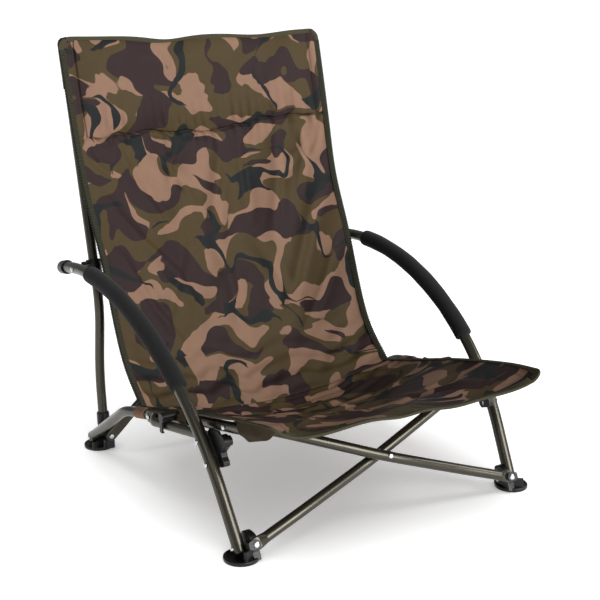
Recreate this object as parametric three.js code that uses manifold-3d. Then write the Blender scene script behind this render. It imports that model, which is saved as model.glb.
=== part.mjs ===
// Low folding fishing chair: a bundle-fold tube frame with a one-piece fabric sling.
// Two bent tubes make the front legs and arms, and two uprights stand behind them. A crossed pair
// of tubes joins the feet at the front and one at the back, and a rail and a link run at each side.
// Units are millimetres. +Z is up and -Y is the front. Left and right are as seen from the front.
import * as THREE from 'three';
import { mergeVertices } from 'three/addons/utils/BufferGeometryUtils.js';
import Module from 'manifold-3d';

const wasm = await Module();
wasm.setup();

// Stance
const footSpacing = 580;
const frontFootY = -299;
const rearFootY = 299;
const seatGap = 0.3;
const overrun = 4;
const degree = Math.PI / 180;

// Tubes, and how an end is pressed flat
const legRadius = 11;
const tubeRadius = 9.5;
const linkRadius = 7.5;
const flatThickness = 4;
const flatReach = 9;
const flatRun = 40;
const flatWidthShare = 1.2;
const flatTipShare = 0.7;
const flatTipRunShare = 0.35;
const flatFullShare = 0.5;
const legSides = 12;
const tubeSides = 10;
const legStep = 36;
const bendSteps = 3;
const flatStations = [10, 20, 30, 40];

// Leg and arm: straight at the foot, then two long bends, the whole tube leaning outwards
const legFootHeight = 15;
const legFootBack = 5;
const legAngle = 60.8;
const legStraight = 95;
const legBendRadius = 519;
const legBendAngle = 26.6;
const armBendRadius = 594;
const armBendAngle = 46.2;
const armTail = 8;
const armSplay = 0.077;
const foamRadius = 16.5;
const foamStart = 292;
const foamLength = 390;
const foamStep = 36;
const capLength = 22;
const capWall = 2.6;
const capBore = 0.7;
const capNose = 5;
const capSides = 16;

// Foot discs and the hubs on them
const discRadius = 30.5;
const discHeight = 7;
const discRound = 1.5;
const discRimWidth = 4;
const discDish = 2.5;
const discSides = 24;
const discRoot = 3;
const hubRound = 7;
const hubSides = 4;
const frontHubWidth = 14;
const frontFlatRun = 52;
const frontHubDepth = 38;
const frontHubHeight = 42;
const frontPivot = [-291, 17];
const rearHubWidth = 30;
const rearBossLength = 24;
const rearBossWidth = 12;
const rearHubDepth = 50;
const rearHubHeight = 27;
const rearWallThickness = 2.6;
const rearWallHeight = 38;
const rearWallInner = 274;
const rearEarThickness = 4;
const rearEarHeight = 48;

// Uprights, with a tapered sleeve at the foot
const uprightX = 283;
const uprightPivot = [288, 36];
const uprightLowBend = [300, 158];
const uprightHighBend = [284, 296];
const uprightTop = [418, 806];
const uprightBendReach = 45;
const uprightStart = 8;
const sleeveRadius = 12.7;
const sleeveFootRadius = 11.2;
const sleeveFoot = 7;
const sleeveTaper = 14;
const sleeveLength = 52;
const sleeveSides = 14;

// Sliders on the uprights
const sliderDrop = 3;
const sliderRadius = 14.5;
const sliderLength = 36;
const sliderBore = 0.5;
const sliderArmWidth = 22;
const sliderLugWidth = 17;
const sliderSides = 16;
const armPinDepth = 8;
const lugGap = 1.3;
const lugPinDepth = 2.4;

// Rear crossed pair
const rearPinX = 279;
const rearPinY = 262;
const rearPinHeight = 31;
const rearTopDrop = 15;
const rearFlatRun = 80;
const rearBendShare = 0.14;
const rearBendRise = 26;

// Front crossed pair, in a plane that leans back
const frontPinX = 273;
const frontPin = [-316, 28];
const frontTopX = 249;
const frontTop = [-235, 208];
const frontBendShare = 0.3;
const frontBendDrop = 10;
const crossGap = 1.6;
const crossReach = 20;
const crossHalf = 70;
const topBendShare = 0.12;
const bendReach = 28;
const knuckleHalf = 9.5;
const knuckleRise = 9;
const knuckleDepth = 15;

// Side rails and links
const railPivot = [305, 19];
const railPivotX = 307;
const railBend = [112, 138];
const railBendX = 311.5;
const railMiddle = [-135, 189];
const railMiddleX = 280;
const railTip = [-372, 238];
const railTipX = 272;
const railBendReach = 24;
const railPinY = -235;
const linkPivot = [5, 159];
const linkKneeY = -26;
const linkKneeX = 318;
const linkFlatY = -8;
const linkTipY = -176;
const linkTip = [-191, 175];
const linkTipGap = 9;
const linkRailGap = 1.8;
const clipY = -65;
const clipWidth = 12;
const clipBar = 26;
const clipTop = 13;
const clipDrop = 8;
const clipWall = 3.2;
const clipBore = 1;

// Brackets inside the legs
const bracketThickness = 5;
const bracketRivet = [-219, 143];
const bracketCorner = [-264, 132];
const bracketLength = 83;
const bracketHeight = 68;
const bracketShares = [
  [0.14, 0.18], [0.29, 0.12], [0.6, 0], [0.7, 0.03], [0.99, 0.49], [1, 0.68], [0.89, 0.76],
  [0.6, 0.66], [0.34, 0.76], [0.29, 0.94], [0.02, 1], [0, 0.79], [0.23, 0.49],
];
const saddleInner = 22;
const saddleY = -262;
const saddleLength = 22;
const saddleTop = 200;
const saddleDepth = 12;

// Rivets
const rivetRadius = 5;
const rivetRise = 2.6;
const bigRivetRadius = 7;
const bigRivetRise = 3.6;
const shankRadius = 2.6;
const holeGap = 0.3;
const slantGap = 0.7;
const blindDepth = 8;
const rivetSides = 8;
const domeSteps = 2;

// Fabric sling. The back's edge rows follow the uprights: heights as shares of their tops, and how
// far the cloth lies in front of their line. The seat's edge rows are y and z. Each sag row is how
// far the middle of the cloth moves from its edge.
const clothThickness = 3;
const backHalf = [297, 296, 294, 290, 286, 284, 283];
const backHeightShares = [1.009, 0.886, 0.775, 0.639, 0.496, 0.267, 0.191];
const backSetIn = [12.8, 14.8, 17.4, 23.5, 52.3, 88.6, 148.7];
const backSag = [[2, -16], [16, -8], [26, -6], [34, -8], [36, -14], [26, -30], [12, -44]];
const seatHalf = [283, 286, 288, 286, 276];
const seatEdge = [[96, 153], [0, 181], [-130, 210], [-290, 243], [-392, 257]];
const seatSag = [[12, -44], [2, -58], [0, -54], [2, -36], [24, -24]];
const clothColumns = 16;
const backRows = 18;
const seatRows = 14;
const wrinkleDepth = 4;
const wrinkleCount = 3;
const padThickness = 12;
const padRoundShare = 0.16;
const padStartShare = 0.012;
const padEndShare = 0.2;
const padMarginShare = 0.03;
const padColumns = 16;
const padRows = 6;
const pocketBore = 0.6;
const pocketWall = 2.9;
const topPocketLength = 96;
const cornerPocketLength = 104;
const pocketSides = 12;
const pocketCap = 3;
const loopBore = 0.4;
const loopWall = 0.8;
const loopSpans = [[64, 30], [-84, -110]];

// Colours
const paint = { color: 0x5d5a4c, roughness: 0.38, metalness: 0.75 };
const black = { color: 0x141415, roughness: 0.42, metalness: 0 };
const soft = { color: 0x2b2a2b, roughness: 0.95, metalness: 0 };
const chrome = { color: 0xc9cbcd, roughness: 0.18, metalness: 1 };
const cloth = { color: 0x585036, roughness: 0.9, metalness: 0 };
const brown = { color: 0x5a4a2e, roughness: 0.9, metalness: 0 };

const chair = new THREE.Group();
const axisX = new THREE.Vector3(1, 0, 0);
const axisY = new THREE.Vector3(0, 1, 0);

function addPiece(name, geometry, look) {
  const mesh = new THREE.Mesh(geometry, new THREE.MeshStandardMaterial(look));
  mesh.name = name;
  chair.add(mesh);
}

function toSolid(geometry) {
  const bare = geometry.clone();
  bare.deleteAttribute('normal');
  bare.deleteAttribute('uv');
  const merged = mergeVertices(bare);
  return new wasm.Manifold(new wasm.Mesh({
    numProp: 3,
    vertProperties: new Float32Array(merged.attributes.position.array),
    triVerts: new Uint32Array(merged.index.array),
  }));
}

function toGeometry(solid) {
  const mesh = solid.getMesh();
  const geometry = new THREE.BufferGeometry();
  geometry.setAttribute('position', new THREE.BufferAttribute(mesh.vertProperties, 3));
  geometry.setIndex(new THREE.BufferAttribute(mesh.triVerts, 1));
  geometry.computeVertexNormals();
  return geometry;
}

function join(first, ...others) {
  return toGeometry(others.reduce((sum, part) => sum.add(toSolid(part)), toSolid(first)));
}

function cut(body, ...tools) {
  return toGeometry(tools.reduce((rest, tool) => rest.subtract(toSolid(tool)), toSolid(body)));
}

// A point of a side view: the distance from the middle on the given side, then y and z
function sidePoint(side, x, [y, z]) {
  return new THREE.Vector3(side * x, y, z);
}

// Straight runs between corner points. Each corner is rounded over its reach along both runs, and
// the path keeps the distances at which a tube along it needs a ring.
function bentPath(points, reaches) {
  const path = new THREE.CurvePath();
  path.rings = [0];
  let start = points[0];
  const add = (curve, steps) => {
    const from = path.rings[path.rings.length - 1];
    const length = curve.getLength();
    for (let i = 1; i <= steps; i += 1) path.rings.push(from + (length * i) / steps);
    path.add(curve);
  };
  for (let i = 1; i < points.length - 1; i += 1) {
    const corner = points[i];
    const before = points[i - 1].clone().sub(corner).setLength(reaches[i - 1]).add(corner);
    const after = points[i + 1].clone().sub(corner).setLength(reaches[i - 1]).add(corner);
    add(new THREE.LineCurve3(start, before), 1);
    add(new THREE.QuadraticBezierCurve3(before, corner, after), bendSteps);
    start = after;
  }
  add(new THREE.LineCurve3(start, points[points.length - 1]), 1);
  return path;
}

// A curve that is walked from ring to ring, so that an extrusion puts its rings there
class RingPath extends THREE.Curve {
  constructor(path, rings) {
    super();
    this.path = path;
    this.shares = rings.map((ring) => Math.min(ring / path.getLength(), 1));
  }

  toShare(u) {
    const place = u * (this.shares.length - 1);
    const low = Math.min(Math.floor(place), this.shares.length - 2);
    return THREE.MathUtils.lerp(this.shares[low], this.shares[low + 1], place - low);
  }

  getPointAt(u, target) {
    return this.path.getPointAt(this.toShare(u), target);
  }

  getTangentAt(u, target) {
    return this.path.getTangentAt(this.toShare(u), target);
  }
}

function tube(path, radius, sides, step) {
  const corners = [];
  for (let i = 0; i < sides; i += 1) {
    const turn = (i / sides) * Math.PI * 2;
    corners.push(new THREE.Vector2(Math.cos(turn) * radius, Math.sin(turn) * radius));
  }
  return new THREE.ExtrudeGeometry(new THREE.Shape(corners), {
    steps: step ? Math.round(path.getLength() / step) : path.rings.length - 1,
    extrudePath: step ? path : new RingPath(path, path.rings),
    bevelEnabled: false,
  });
}

// Adds the rings that a pressed end needs, at the path's start or end
function ringsForFlats(path, atStart, atEnd) {
  const length = path.getLength();
  const rings = path.rings.concat(
    atStart ? flatStations : [],
    atEnd ? flatStations.map((run) => length - run) : [],
  ).sort((a, b) => a - b);
  path.rings = rings.filter((ring, i) => i === 0 || ring - rings[i - 1] > overrun / 2);
  path.rings[path.rings.length - 1] = length;
  return path;
}

// Presses a tube's end flat across its pin. The tube runs from end along inward.
function flattenEnd(geometry, end, inward, pin, radius, pressed = flatRun) {
  const along = inward.clone().normalize();
  const across = new THREE.Vector3().crossVectors(along, pin).normalize();
  const through = new THREE.Vector3().crossVectors(across, along).normalize();
  const place = geometry.attributes.position;
  const point = new THREE.Vector3();
  for (let i = 0; i < place.count; i += 1) {
    point.fromBufferAttribute(place, i).sub(end);
    const run = point.dot(along);
    if (run < pressed && point.length() < pressed * 2) {
      const flat = 1 - THREE.MathUtils.smoothstep(run, pressed * flatFullShare, pressed);
      const tip = 1 - THREE.MathUtils.smoothstep(run, 0, flatRun * flatTipRunShare);
      const thin = THREE.MathUtils.lerp(1, flatThickness / (radius * 2), flat);
      const wide = THREE.MathUtils.lerp(1, flatWidthShare, flat) * THREE.MathUtils.lerp(1, flatTipShare, tip);
      const wideMove = point.dot(across) * (wide - 1);
      const thinMove = point.dot(through) * (thin - 1);
      point.addScaledVector(across, wideMove).addScaledVector(through, thinMove).add(end);
      place.setXYZ(i, point.x, point.y, point.z);
    }
  }
  geometry.computeVertexNormals();
  return geometry;
}

// A turned piece whose profile is [radius, distance along] rows from its start to its end
function turned(rows, sides, start, direction) {
  const profile = rows.map(([radius, run]) => new THREE.Vector2(radius, run));
  const geometry = new THREE.LatheGeometry(profile, sides);
  geometry.applyQuaternion(new THREE.Quaternion().setFromUnitVectors(axisY, direction.clone().normalize()));
  return geometry.translate(start.x, start.y, start.z);
}

function rod(start, direction, length, radius, sides) {
  return turned([[0, 0], [radius, 0], [radius, length], [0, length]], sides, start, direction);
}

function domeRows(radius, rise, base) {
  const rows = [[radius, base]];
  for (let i = 1; i < domeSteps; i += 1) {
    const turn = (i / domeSteps) * (Math.PI / 2);
    rows.push([radius * Math.cos(turn), base + rise * Math.sin(turn)]);
  }
  rows.push([0, base + rise]);
  return rows;
}

// A rivet with a head at each end. Start and length are those of the clamped pieces.
function throughRivet(start, direction, length, gap = seatGap) {
  const foot = domeRows(rivetRadius, rivetRise, 0).map(([radius, run]) => [radius, -gap - run]).reverse();
  const shank = [[shankRadius, -gap], [shankRadius, length + gap]];
  const head = domeRows(rivetRadius, rivetRise, length + gap);
  return turned([...foot, ...shank, ...head], rivetSides, start, direction);
}

// A rivet with one head: the surface under the head, and the direction that the head points in
function blindRivet(surface, direction, depth, radius = rivetRadius, rise = rivetRise, gap = seatGap) {
  const rows = [[0, -depth], [shankRadius, -depth], [shankRadius, gap], ...domeRows(radius, rise, gap)];
  return turned(rows, rivetSides, surface, direction);
}

function hole(start, direction, length) {
  return rod(start, direction, length, shankRadius + holeGap, rivetSides);
}

// A plate drawn in the side view and lying between two distances from the middle
function sidePlate(side, outline, inner, outer) {
  const plate = new THREE.ExtrudeGeometry(outline, {
    depth: outer - inner,
    bevelEnabled: false,
    curveSegments: hubSides,
  });
  plate.applyMatrix4(new THREE.Matrix4().makeBasis(axisY, new THREE.Vector3(0, 0, 1), axisX));
  return plate.translate(side > 0 ? inner : -outer, 0, 0);
}

// A block with round upper corners. Its front edge leans by lean for each unit of height.
function blockOutline(y0, y1, z0, z1, lean = 0) {
  const outline = new THREE.Shape();
  const frontAt = (z) => y0 + lean * (z - z0);
  outline.moveTo(y0, z0);
  outline.lineTo(y1, z0);
  outline.lineTo(y1, z1 - hubRound);
  outline.quadraticCurveTo(y1, z1, y1 - hubRound, z1);
  outline.lineTo(frontAt(z1) + hubRound, z1);
  outline.quadraticCurveTo(frontAt(z1), z1, frontAt(z1 - hubRound), z1 - hubRound);
  outline.closePath();
  return outline;
}

function box(x0, x1, y0, y1, z0, z1) {
  const geometry = new THREE.BoxGeometry(Math.abs(x1 - x0), y1 - y0, z1 - z0);
  return geometry.translate((x0 + x1) / 2, (y0 + y1) / 2, (z0 + z1) / 2);
}

// A cloth surface given over two shares, thickened into one closed body
function clothSolid(surface, columns, rows, thickness) {
  const corners = [];
  const faces = [];
  const wide = columns + 1;
  const under = wide * (rows + 1);
  const step = 1 / (columns * rows);
  for (const face of [1, -1]) {
    for (let j = 0; j <= rows; j += 1) {
      for (let i = 0; i <= columns; i += 1) {
        const u = i / columns;
        const v = j / rows;
        const alongU = surface(Math.min(u + step, 1), v).sub(surface(Math.max(u - step, 0), v));
        const alongV = surface(u, Math.min(v + step, 1)).sub(surface(u, Math.max(v - step, 0)));
        const normal = alongU.cross(alongV).normalize();
        const half = (typeof thickness === 'function' ? thickness(u, v) : thickness) / 2;
        corners.push(...surface(u, v).addScaledVector(normal, face * half).toArray());
      }
    }
  }
  const quad = (a, b, c, d) => faces.push(a, b, c, a, c, d);
  for (let j = 0; j < rows; j += 1) {
    for (let i = 0; i < columns; i += 1) {
      const a = j * wide + i;
      const d = a + wide;
      quad(a, a + 1, d + 1, d);
      quad(under + a, under + d, under + d + 1, under + a + 1);
    }
    const a = j * wide;
    const b = a + columns;
    quad(a, a + wide, under + a + wide, under + a);
    quad(b, under + b, under + b + wide, b + wide);
  }
  for (let i = 0; i < columns; i += 1) {
    const last = rows * wide + i;
    quad(i, under + i, under + i + 1, i + 1);
    quad(last, last + 1, under + last + 1, under + last);
  }
  const geometry = new THREE.BufferGeometry();
  geometry.setAttribute('position', new THREE.Float32BufferAttribute(corners, 3));
  geometry.setIndex(faces);
  geometry.computeVertexNormals();
  return geometry;
}

// The leg's axis between two distances along it, measured from its foot
function legCurve(side, from = 0, to = Infinity) {
  const bends = [[legBendRadius, legBendAngle * degree], [armBendRadius, armBendAngle * degree]];
  const whole = bends.reduce((sum, [radius, angle]) => sum + radius * angle, legStraight + armTail);
  const end = Math.min(to, whole);
  class LegAxis extends THREE.Curve {
    getPoint(share, target = new THREE.Vector3()) {
      let left = THREE.MathUtils.lerp(from, end, share);
      let turn = legAngle * degree;
      let y = frontFootY + legFootBack;
      let z = legFootHeight;
      const straight = Math.min(left, legStraight);
      y += Math.cos(turn) * straight;
      z += Math.sin(turn) * straight;
      left -= straight;
      for (const [radius, angle] of bends) {
        const bend = Math.min(left / radius, angle);
        y += radius * (Math.sin(turn) - Math.sin(turn - bend));
        z += radius * (Math.cos(turn - bend) - Math.cos(turn));
        turn -= bend;
        left -= bend * radius;
      }
      y += Math.cos(turn) * left;
      z += Math.sin(turn) * left;
      return target.set(side * (footSpacing / 2 + armSplay * z), y, z);
    }
  }
  return new LegAxis();
}

// The point of a curve where the given coordinate, which grows along the curve, has a value
function pointAt(curve, key, value) {
  let low = 0;
  let high = 1;
  while (high - low > Number.EPSILON) {
    const middle = (low + high) / 2;
    if (middle === low || middle === high) break;
    if (curve.getPoint(middle)[key] < value) low = middle;
    else high = middle;
  }
  return curve.getPoint(low);
}

// The point where the arm passes over an upright's upper run in the side view
function armCrossing(leg) {
  const run = new THREE.Vector2(...uprightTop).sub(new THREE.Vector2(...uprightHighBend));
  let low = 0;
  let high = 1;
  while (high - low > Number.EPSILON) {
    const middle = (low + high) / 2;
    if (middle === low || middle === high) break;
    const point = leg.getPoint(middle);
    const behind = (point.y - uprightHighBend[0]) * run.y - (point.z - uprightHighBend[1]) * run.x;
    if (behind < 0) low = middle;
    else high = middle;
  }
  return leg.getPoint(low);
}

function pathPointAtY(points, y) {
  for (let i = 1; i < points.length; i += 1) {
    const [a, b] = [points[i - 1], points[i]];
    if (y <= a.y && y >= b.y) return a.clone().lerp(b, (a.y - y) / (a.y - b.y));
  }
  return points[points.length - 1].clone();
}

function footDisc(side, y) {
  const inner = discRadius - discRimWidth;
  return turned([
    [0, 0],
    [discRadius - discRound, 0],
    [discRadius, discRound],
    [discRadius, discHeight - discRound],
    [discRadius - discRound, discHeight],
    [inner, discHeight],
    [inner - discDish, discHeight - discDish],
    [0, discHeight - discDish],
  ], discSides, new THREE.Vector3(side * footSpacing / 2, y, 0), new THREE.Vector3(0, 0, 1));
}

// The front pair's plane: up along it, and out of its front face
const frontRise = new THREE.Vector3(0, frontTop[0] - frontPin[0], frontTop[1] - frontPin[1]).normalize();
const frontFace = new THREE.Vector3(0, -frontRise.z, frontRise.y);
const frontLean = frontRise.y / frontRise.z;
const rearFace = new THREE.Vector3(0, -1, 0);
const halfFlat = flatThickness / 2;
const rearTopHeight = armCrossing(legCurve(1)).z - sliderDrop - rearTopDrop;

// One tube of a crossed pair, from its foot pin to its top pin at the other side
function crossedTube(footPin, topPin, face, step, bendShare, bendMove, pressed) {
  const middle = footPin.clone().add(topPin).multiplyScalar(1 / 2).addScaledVector(face, step);
  const crossRun = topPin.clone().sub(footPin).setLength(crossHalf);
  const bend = footPin.clone().lerp(topPin, bendShare).add(bendMove);
  const topBend = topPin.clone().lerp(footPin, topBendShare);
  const start = bend.clone().sub(footPin).setLength(-flatReach).add(footPin);
  const end = topBend.clone().sub(topPin).setLength(-flatReach).add(topPin);
  const path = bentPath([start, bend, middle.clone().sub(crossRun), middle.clone().add(crossRun), topBend, end],
    [bendReach, crossReach, crossReach, bendReach]);
  const geometry = tube(ringsForFlats(path, true, true), tubeRadius, tubeSides);
  flattenEnd(geometry, start, bend.clone().sub(start), face, tubeRadius, pressed);
  flattenEnd(geometry, end, topBend.clone().sub(end), face, tubeRadius);
  return { geometry, middle };
}

for (const [side, label] of [[-1, 'left'], [1, 'right']]) {
  const outward = new THREE.Vector3(side, 0, 0);
  const inward = new THREE.Vector3(-side, 0, 0);

  // Places that several pieces share
  const leg = legCurve(side);
  const armPin = armCrossing(leg);
  const sliderHeight = armPin.z - sliderDrop;
  const legFootX = Math.abs(pointAt(leg, 'z', frontPivot[1]).x);
  const legLinkX = Math.abs(pointAt(leg, 'z', linkTip[1]).x);
  const legRivetX = Math.abs(pointAt(leg, 'z', bracketRivet[1]).x);
  const railPoints = [[railPivotX, railPivot], [railBendX, railBend], [railMiddleX, railMiddle], [railTipX, railTip]]
    .map(([x, point]) => sidePoint(side, x, point));
  const railPin = pathPointAtY(railPoints, railPinY);
  const railKnee = pathPointAtY(railPoints, linkPivot[0]);
  const linkX = Math.abs(railKnee.x) + tubeRadius + linkRailGap + halfFlat;
  const linkTipX = legLinkX - legRadius - linkTipGap;

  // Leg with its holes, foam and end cap
  const legDrills = [
    hole(sidePoint(side, legFootX - legRadius * 2, frontPivot), outward, legRadius * 4),
    hole(sidePoint(side, legLinkX - legRadius * 2, linkTip), outward, legRadius * 4),
    hole(sidePoint(side, legRivetX - legRadius * 2, bracketRivet), outward, legRadius * 4),
    hole(new THREE.Vector3(armPin.x - side * legRadius * 2, armPin.y, armPin.z), outward, legRadius * 4),
  ];
  addPiece(`leg_${label}`, cut(tube(leg, legRadius, legSides, legStep), ...legDrills), paint);

  const foamEnd = foamStart + foamLength;
  addPiece(`arm_foam_${label}`, cut(
    tube(legCurve(side, foamStart, foamEnd), foamRadius, legSides, foamStep),
    tube(legCurve(side, foamStart - overrun, foamEnd + overrun), legRadius + capBore, legSides, foamStep),
  ), soft);

  const capInner = legRadius + capBore;
  addPiece(`arm_cap_${label}`, turned([
    [0, seatGap],
    [capInner, seatGap],
    [capInner, -capLength],
    [capInner + capWall, -capLength],
    [capInner + capWall, capWall],
    [legRadius, capNose],
    [0, capNose],
  ], capSides, leg.getPoint(1), leg.getTangent(1)), black);

  // Front foot. Its hub's front face leans with the front pair.
  const frontHubOuter = legFootX - legRadius - seatGap * 4;
  const frontSurface = frontPin[0] + (halfFlat + seatGap) / frontRise.z - (frontPin[1] - discRoot) * frontLean;
  const frontHub = blockOutline(frontSurface, frontPin[0] + frontHubDepth, discRoot, frontHubHeight, frontLean);
  const frontPinPlace = sidePoint(side, frontPinX, frontPin);
  addPiece(`front_foot_${label}`, cut(
    join(footDisc(side, frontFootY), sidePlate(side, frontHub, frontHubOuter - frontHubWidth, frontHubOuter)),
    hole(sidePoint(side, frontHubOuter - frontHubWidth * 2, frontPivot), outward, frontHubWidth * 3),
    hole(frontPinPlace, frontFace.clone().negate(), halfFlat + seatGap + blindDepth + holeGap),
  ), black);
  const hubInner = frontHubOuter - frontHubWidth;
  addPiece(`rivet_foot_${label}`, throughRivet(
    sidePoint(side, hubInner, frontPivot),
    outward,
    legFootX + legRadius - hubInner,
    slantGap,
  ), chrome);
  addPiece(`rivet_front_tube_${label}`, blindRivet(
    frontPinPlace.clone().addScaledVector(frontFace, halfFlat),
    frontFace,
    flatThickness + seatGap + blindDepth,
    bigRivetRadius,
    bigRivetRise,
  ), chrome);

  // Rear foot: a low hub, a thin wall behind the crossed tube, and an ear for the upright's sleeve
  const earOuter = uprightX - sleeveRadius - seatGap;
  const bossOuter = railPivotX - halfFlat - seatGap;
  const hubOuter = earOuter + rearHubWidth - rearEarThickness;
  const rearSurface = rearPinY + halfFlat + seatGap;
  const earY = [uprightPivot[0] - sleeveRadius, uprightPivot[0] + sleeveRadius];
  const rearPinPlace = new THREE.Vector3(side * rearPinX, rearPinY, rearPinHeight);
  const railFoot = sidePoint(side, railPivotX, railPivot);
  addPiece(`rear_foot_${label}`, cut(
    join(
      footDisc(side, rearFootY),
      sidePlate(side, blockOutline(rearSurface, rearSurface + rearHubDepth, discRoot, rearHubHeight),
        hubOuter - rearHubWidth, hubOuter),
      sidePlate(side, blockOutline(railPivot[0] - rearBossLength / 2, railPivot[0] + rearBossLength / 2,
        discRoot, rearHubHeight), bossOuter - rearBossWidth, bossOuter),
      sidePlate(side, blockOutline(earY[0], earY[1], discRoot, rearEarHeight),
        earOuter - rearEarThickness, earOuter),
      box(side * rearWallInner, side * (uprightX + sleeveRadius),
        rearSurface, rearSurface + rearWallThickness, discRoot, rearWallHeight),
      turned([[0, -halfFlat], [rivetRadius, -halfFlat], ...domeRows(rivetRadius, rivetRise, 0)], rivetSides,
        sidePoint(side, earOuter - rearEarThickness, uprightPivot), inward),
    ),
    hole(rearPinPlace, axisY, rearHubDepth / 2),
    hole(railFoot, inward, halfFlat + seatGap * 2 + blindDepth),
  ), black);
  addPiece(`rivet_rear_tube_${label}`, blindRivet(
    rearPinPlace.clone().addScaledVector(rearFace, halfFlat),
    rearFace,
    flatThickness + seatGap + rearWallThickness,
  ), chrome);
  addPiece(`rivet_rail_foot_${label}`, blindRivet(
    railFoot.clone().addScaledVector(outward, halfFlat),
    outward,
    flatThickness + seatGap + blindDepth,
  ), chrome);

  // Upright, and the sleeve that it stands in, with the sleeve's own rivet through the foot's ear
  const uprightLine = [uprightPivot, uprightLowBend, uprightHighBend, uprightTop]
    .map((point) => sidePoint(side, uprightX, point));
  const uprightFoot = uprightLine[1].clone().sub(uprightLine[0]).setLength(uprightStart).add(uprightLine[0]);
  const upright = bentPath([uprightFoot, ...uprightLine.slice(1)], [uprightBendReach, uprightBendReach]);
  addPiece(`upright_${label}`, tube(upright, tubeRadius, tubeSides), paint);

  const sleeveInner = tubeRadius + seatGap;
  const sleeve = turned([
    [0, -sleeveFoot],
    [sleeveFootRadius, -sleeveFoot],
    [sleeveRadius, sleeveTaper],
    [sleeveRadius, sleeveLength],
    [sleeveInner, sleeveLength],
    [sleeveInner, uprightStart - seatGap],
    [0, uprightStart - seatGap],
  ], sleeveSides, uprightLine[0], uprightLine[1].clone().sub(uprightLine[0]));
  addPiece(`upright_sleeve_${label}`, sleeve, black);

  // Slider: collar on the upright, block out to the arm, lug forward to the crossed tube
  const slideLine = uprightLine[3].clone().sub(uprightLine[2]).normalize();
  const collarPlace = uprightLine[3].clone().addScaledVector(slideLine,
    (sliderHeight - uprightTop[1]) / slideLine.z);
  const collarStart = collarPlace.clone().addScaledVector(slideLine, -sliderLength / 2);
  const armInner = Math.abs(armPin.x) - legRadius - seatGap * 4;
  const lugSurface = rearPinY + halfFlat + lugGap;
  const lugEnd = collarPlace.y - rearTopDrop * slideLine.y / slideLine.z;
  const topPin = new THREE.Vector3(side * rearPinX, rearPinY, rearTopHeight);
  addPiece(`slider_${label}`, cut(
    join(
      rod(collarStart, slideLine, sliderLength, sliderRadius, sliderSides),
      sidePlate(side, blockOutline(armPin.y - sliderArmWidth / 2, armPin.y + sliderArmWidth / 2,
        armPin.z - sliderArmWidth / 2, armPin.z + sliderArmWidth / 2), uprightX, armInner),
      sidePlate(side, blockOutline(lugSurface, lugEnd, rearTopHeight - sliderLugWidth / 2,
        rearTopHeight + sliderLugWidth / 2), rearPinX - sliderLugWidth / 2, rearPinX + sliderLugWidth / 2),
    ),
    rod(collarStart.clone().addScaledVector(slideLine, -sliderLength), slideLine, sliderLength * 3,
      tubeRadius + sliderBore, sliderSides),
    rod(topPin, axisY, halfFlat + lugGap + lugPinDepth + slantGap, shankRadius + slantGap, rivetSides),
    hole(new THREE.Vector3(side * armInner, armPin.y, armPin.z), inward, armPinDepth + holeGap),
  ), black);
  addPiece(`rivet_arm_${label}`, blindRivet(
    new THREE.Vector3(armPin.x + side * legRadius, armPin.y, armPin.z),
    outward,
    Math.abs(armPin.x) + legRadius - armInner + armPinDepth,
    rivetRadius,
    rivetRise,
    slantGap,
  ), chrome);
  addPiece(`rivet_slider_${label}`, blindRivet(
    topPin.clone().addScaledVector(rearFace, halfFlat),
    rearFace,
    flatThickness + lugGap + lugPinDepth,
  ), chrome);

  // Side rail, from the rear foot to the seat's front corner
  const railStart = railPoints[1].clone().sub(railPoints[0]).setLength(-flatReach).add(railPoints[0]);
  const railPath = bentPath([railStart, ...railPoints.slice(1)], [railBendReach, railBendReach]);
  const rail = tube(ringsForFlats(railPath, true, false), tubeRadius, tubeSides);
  flattenEnd(rail, railStart, railPoints[1].clone().sub(railStart), axisX, tubeRadius);
  addPiece(`side_rail_${label}`, cut(
    rail,
    hole(railFoot.clone().addScaledVector(outward, -tubeRadius * 2), outward, tubeRadius * 4),
    hole(railPin.clone().addScaledVector(outward, -tubeRadius * 2), outward, tubeRadius * 4),
  ), paint);
  addPiece(`rivet_rail_front_${label}`, throughRivet(
    railPin.clone().addScaledVector(outward, -tubeRadius),
    outward,
    tubeRadius * 2,
    slantGap,
  ), chrome);

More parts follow.
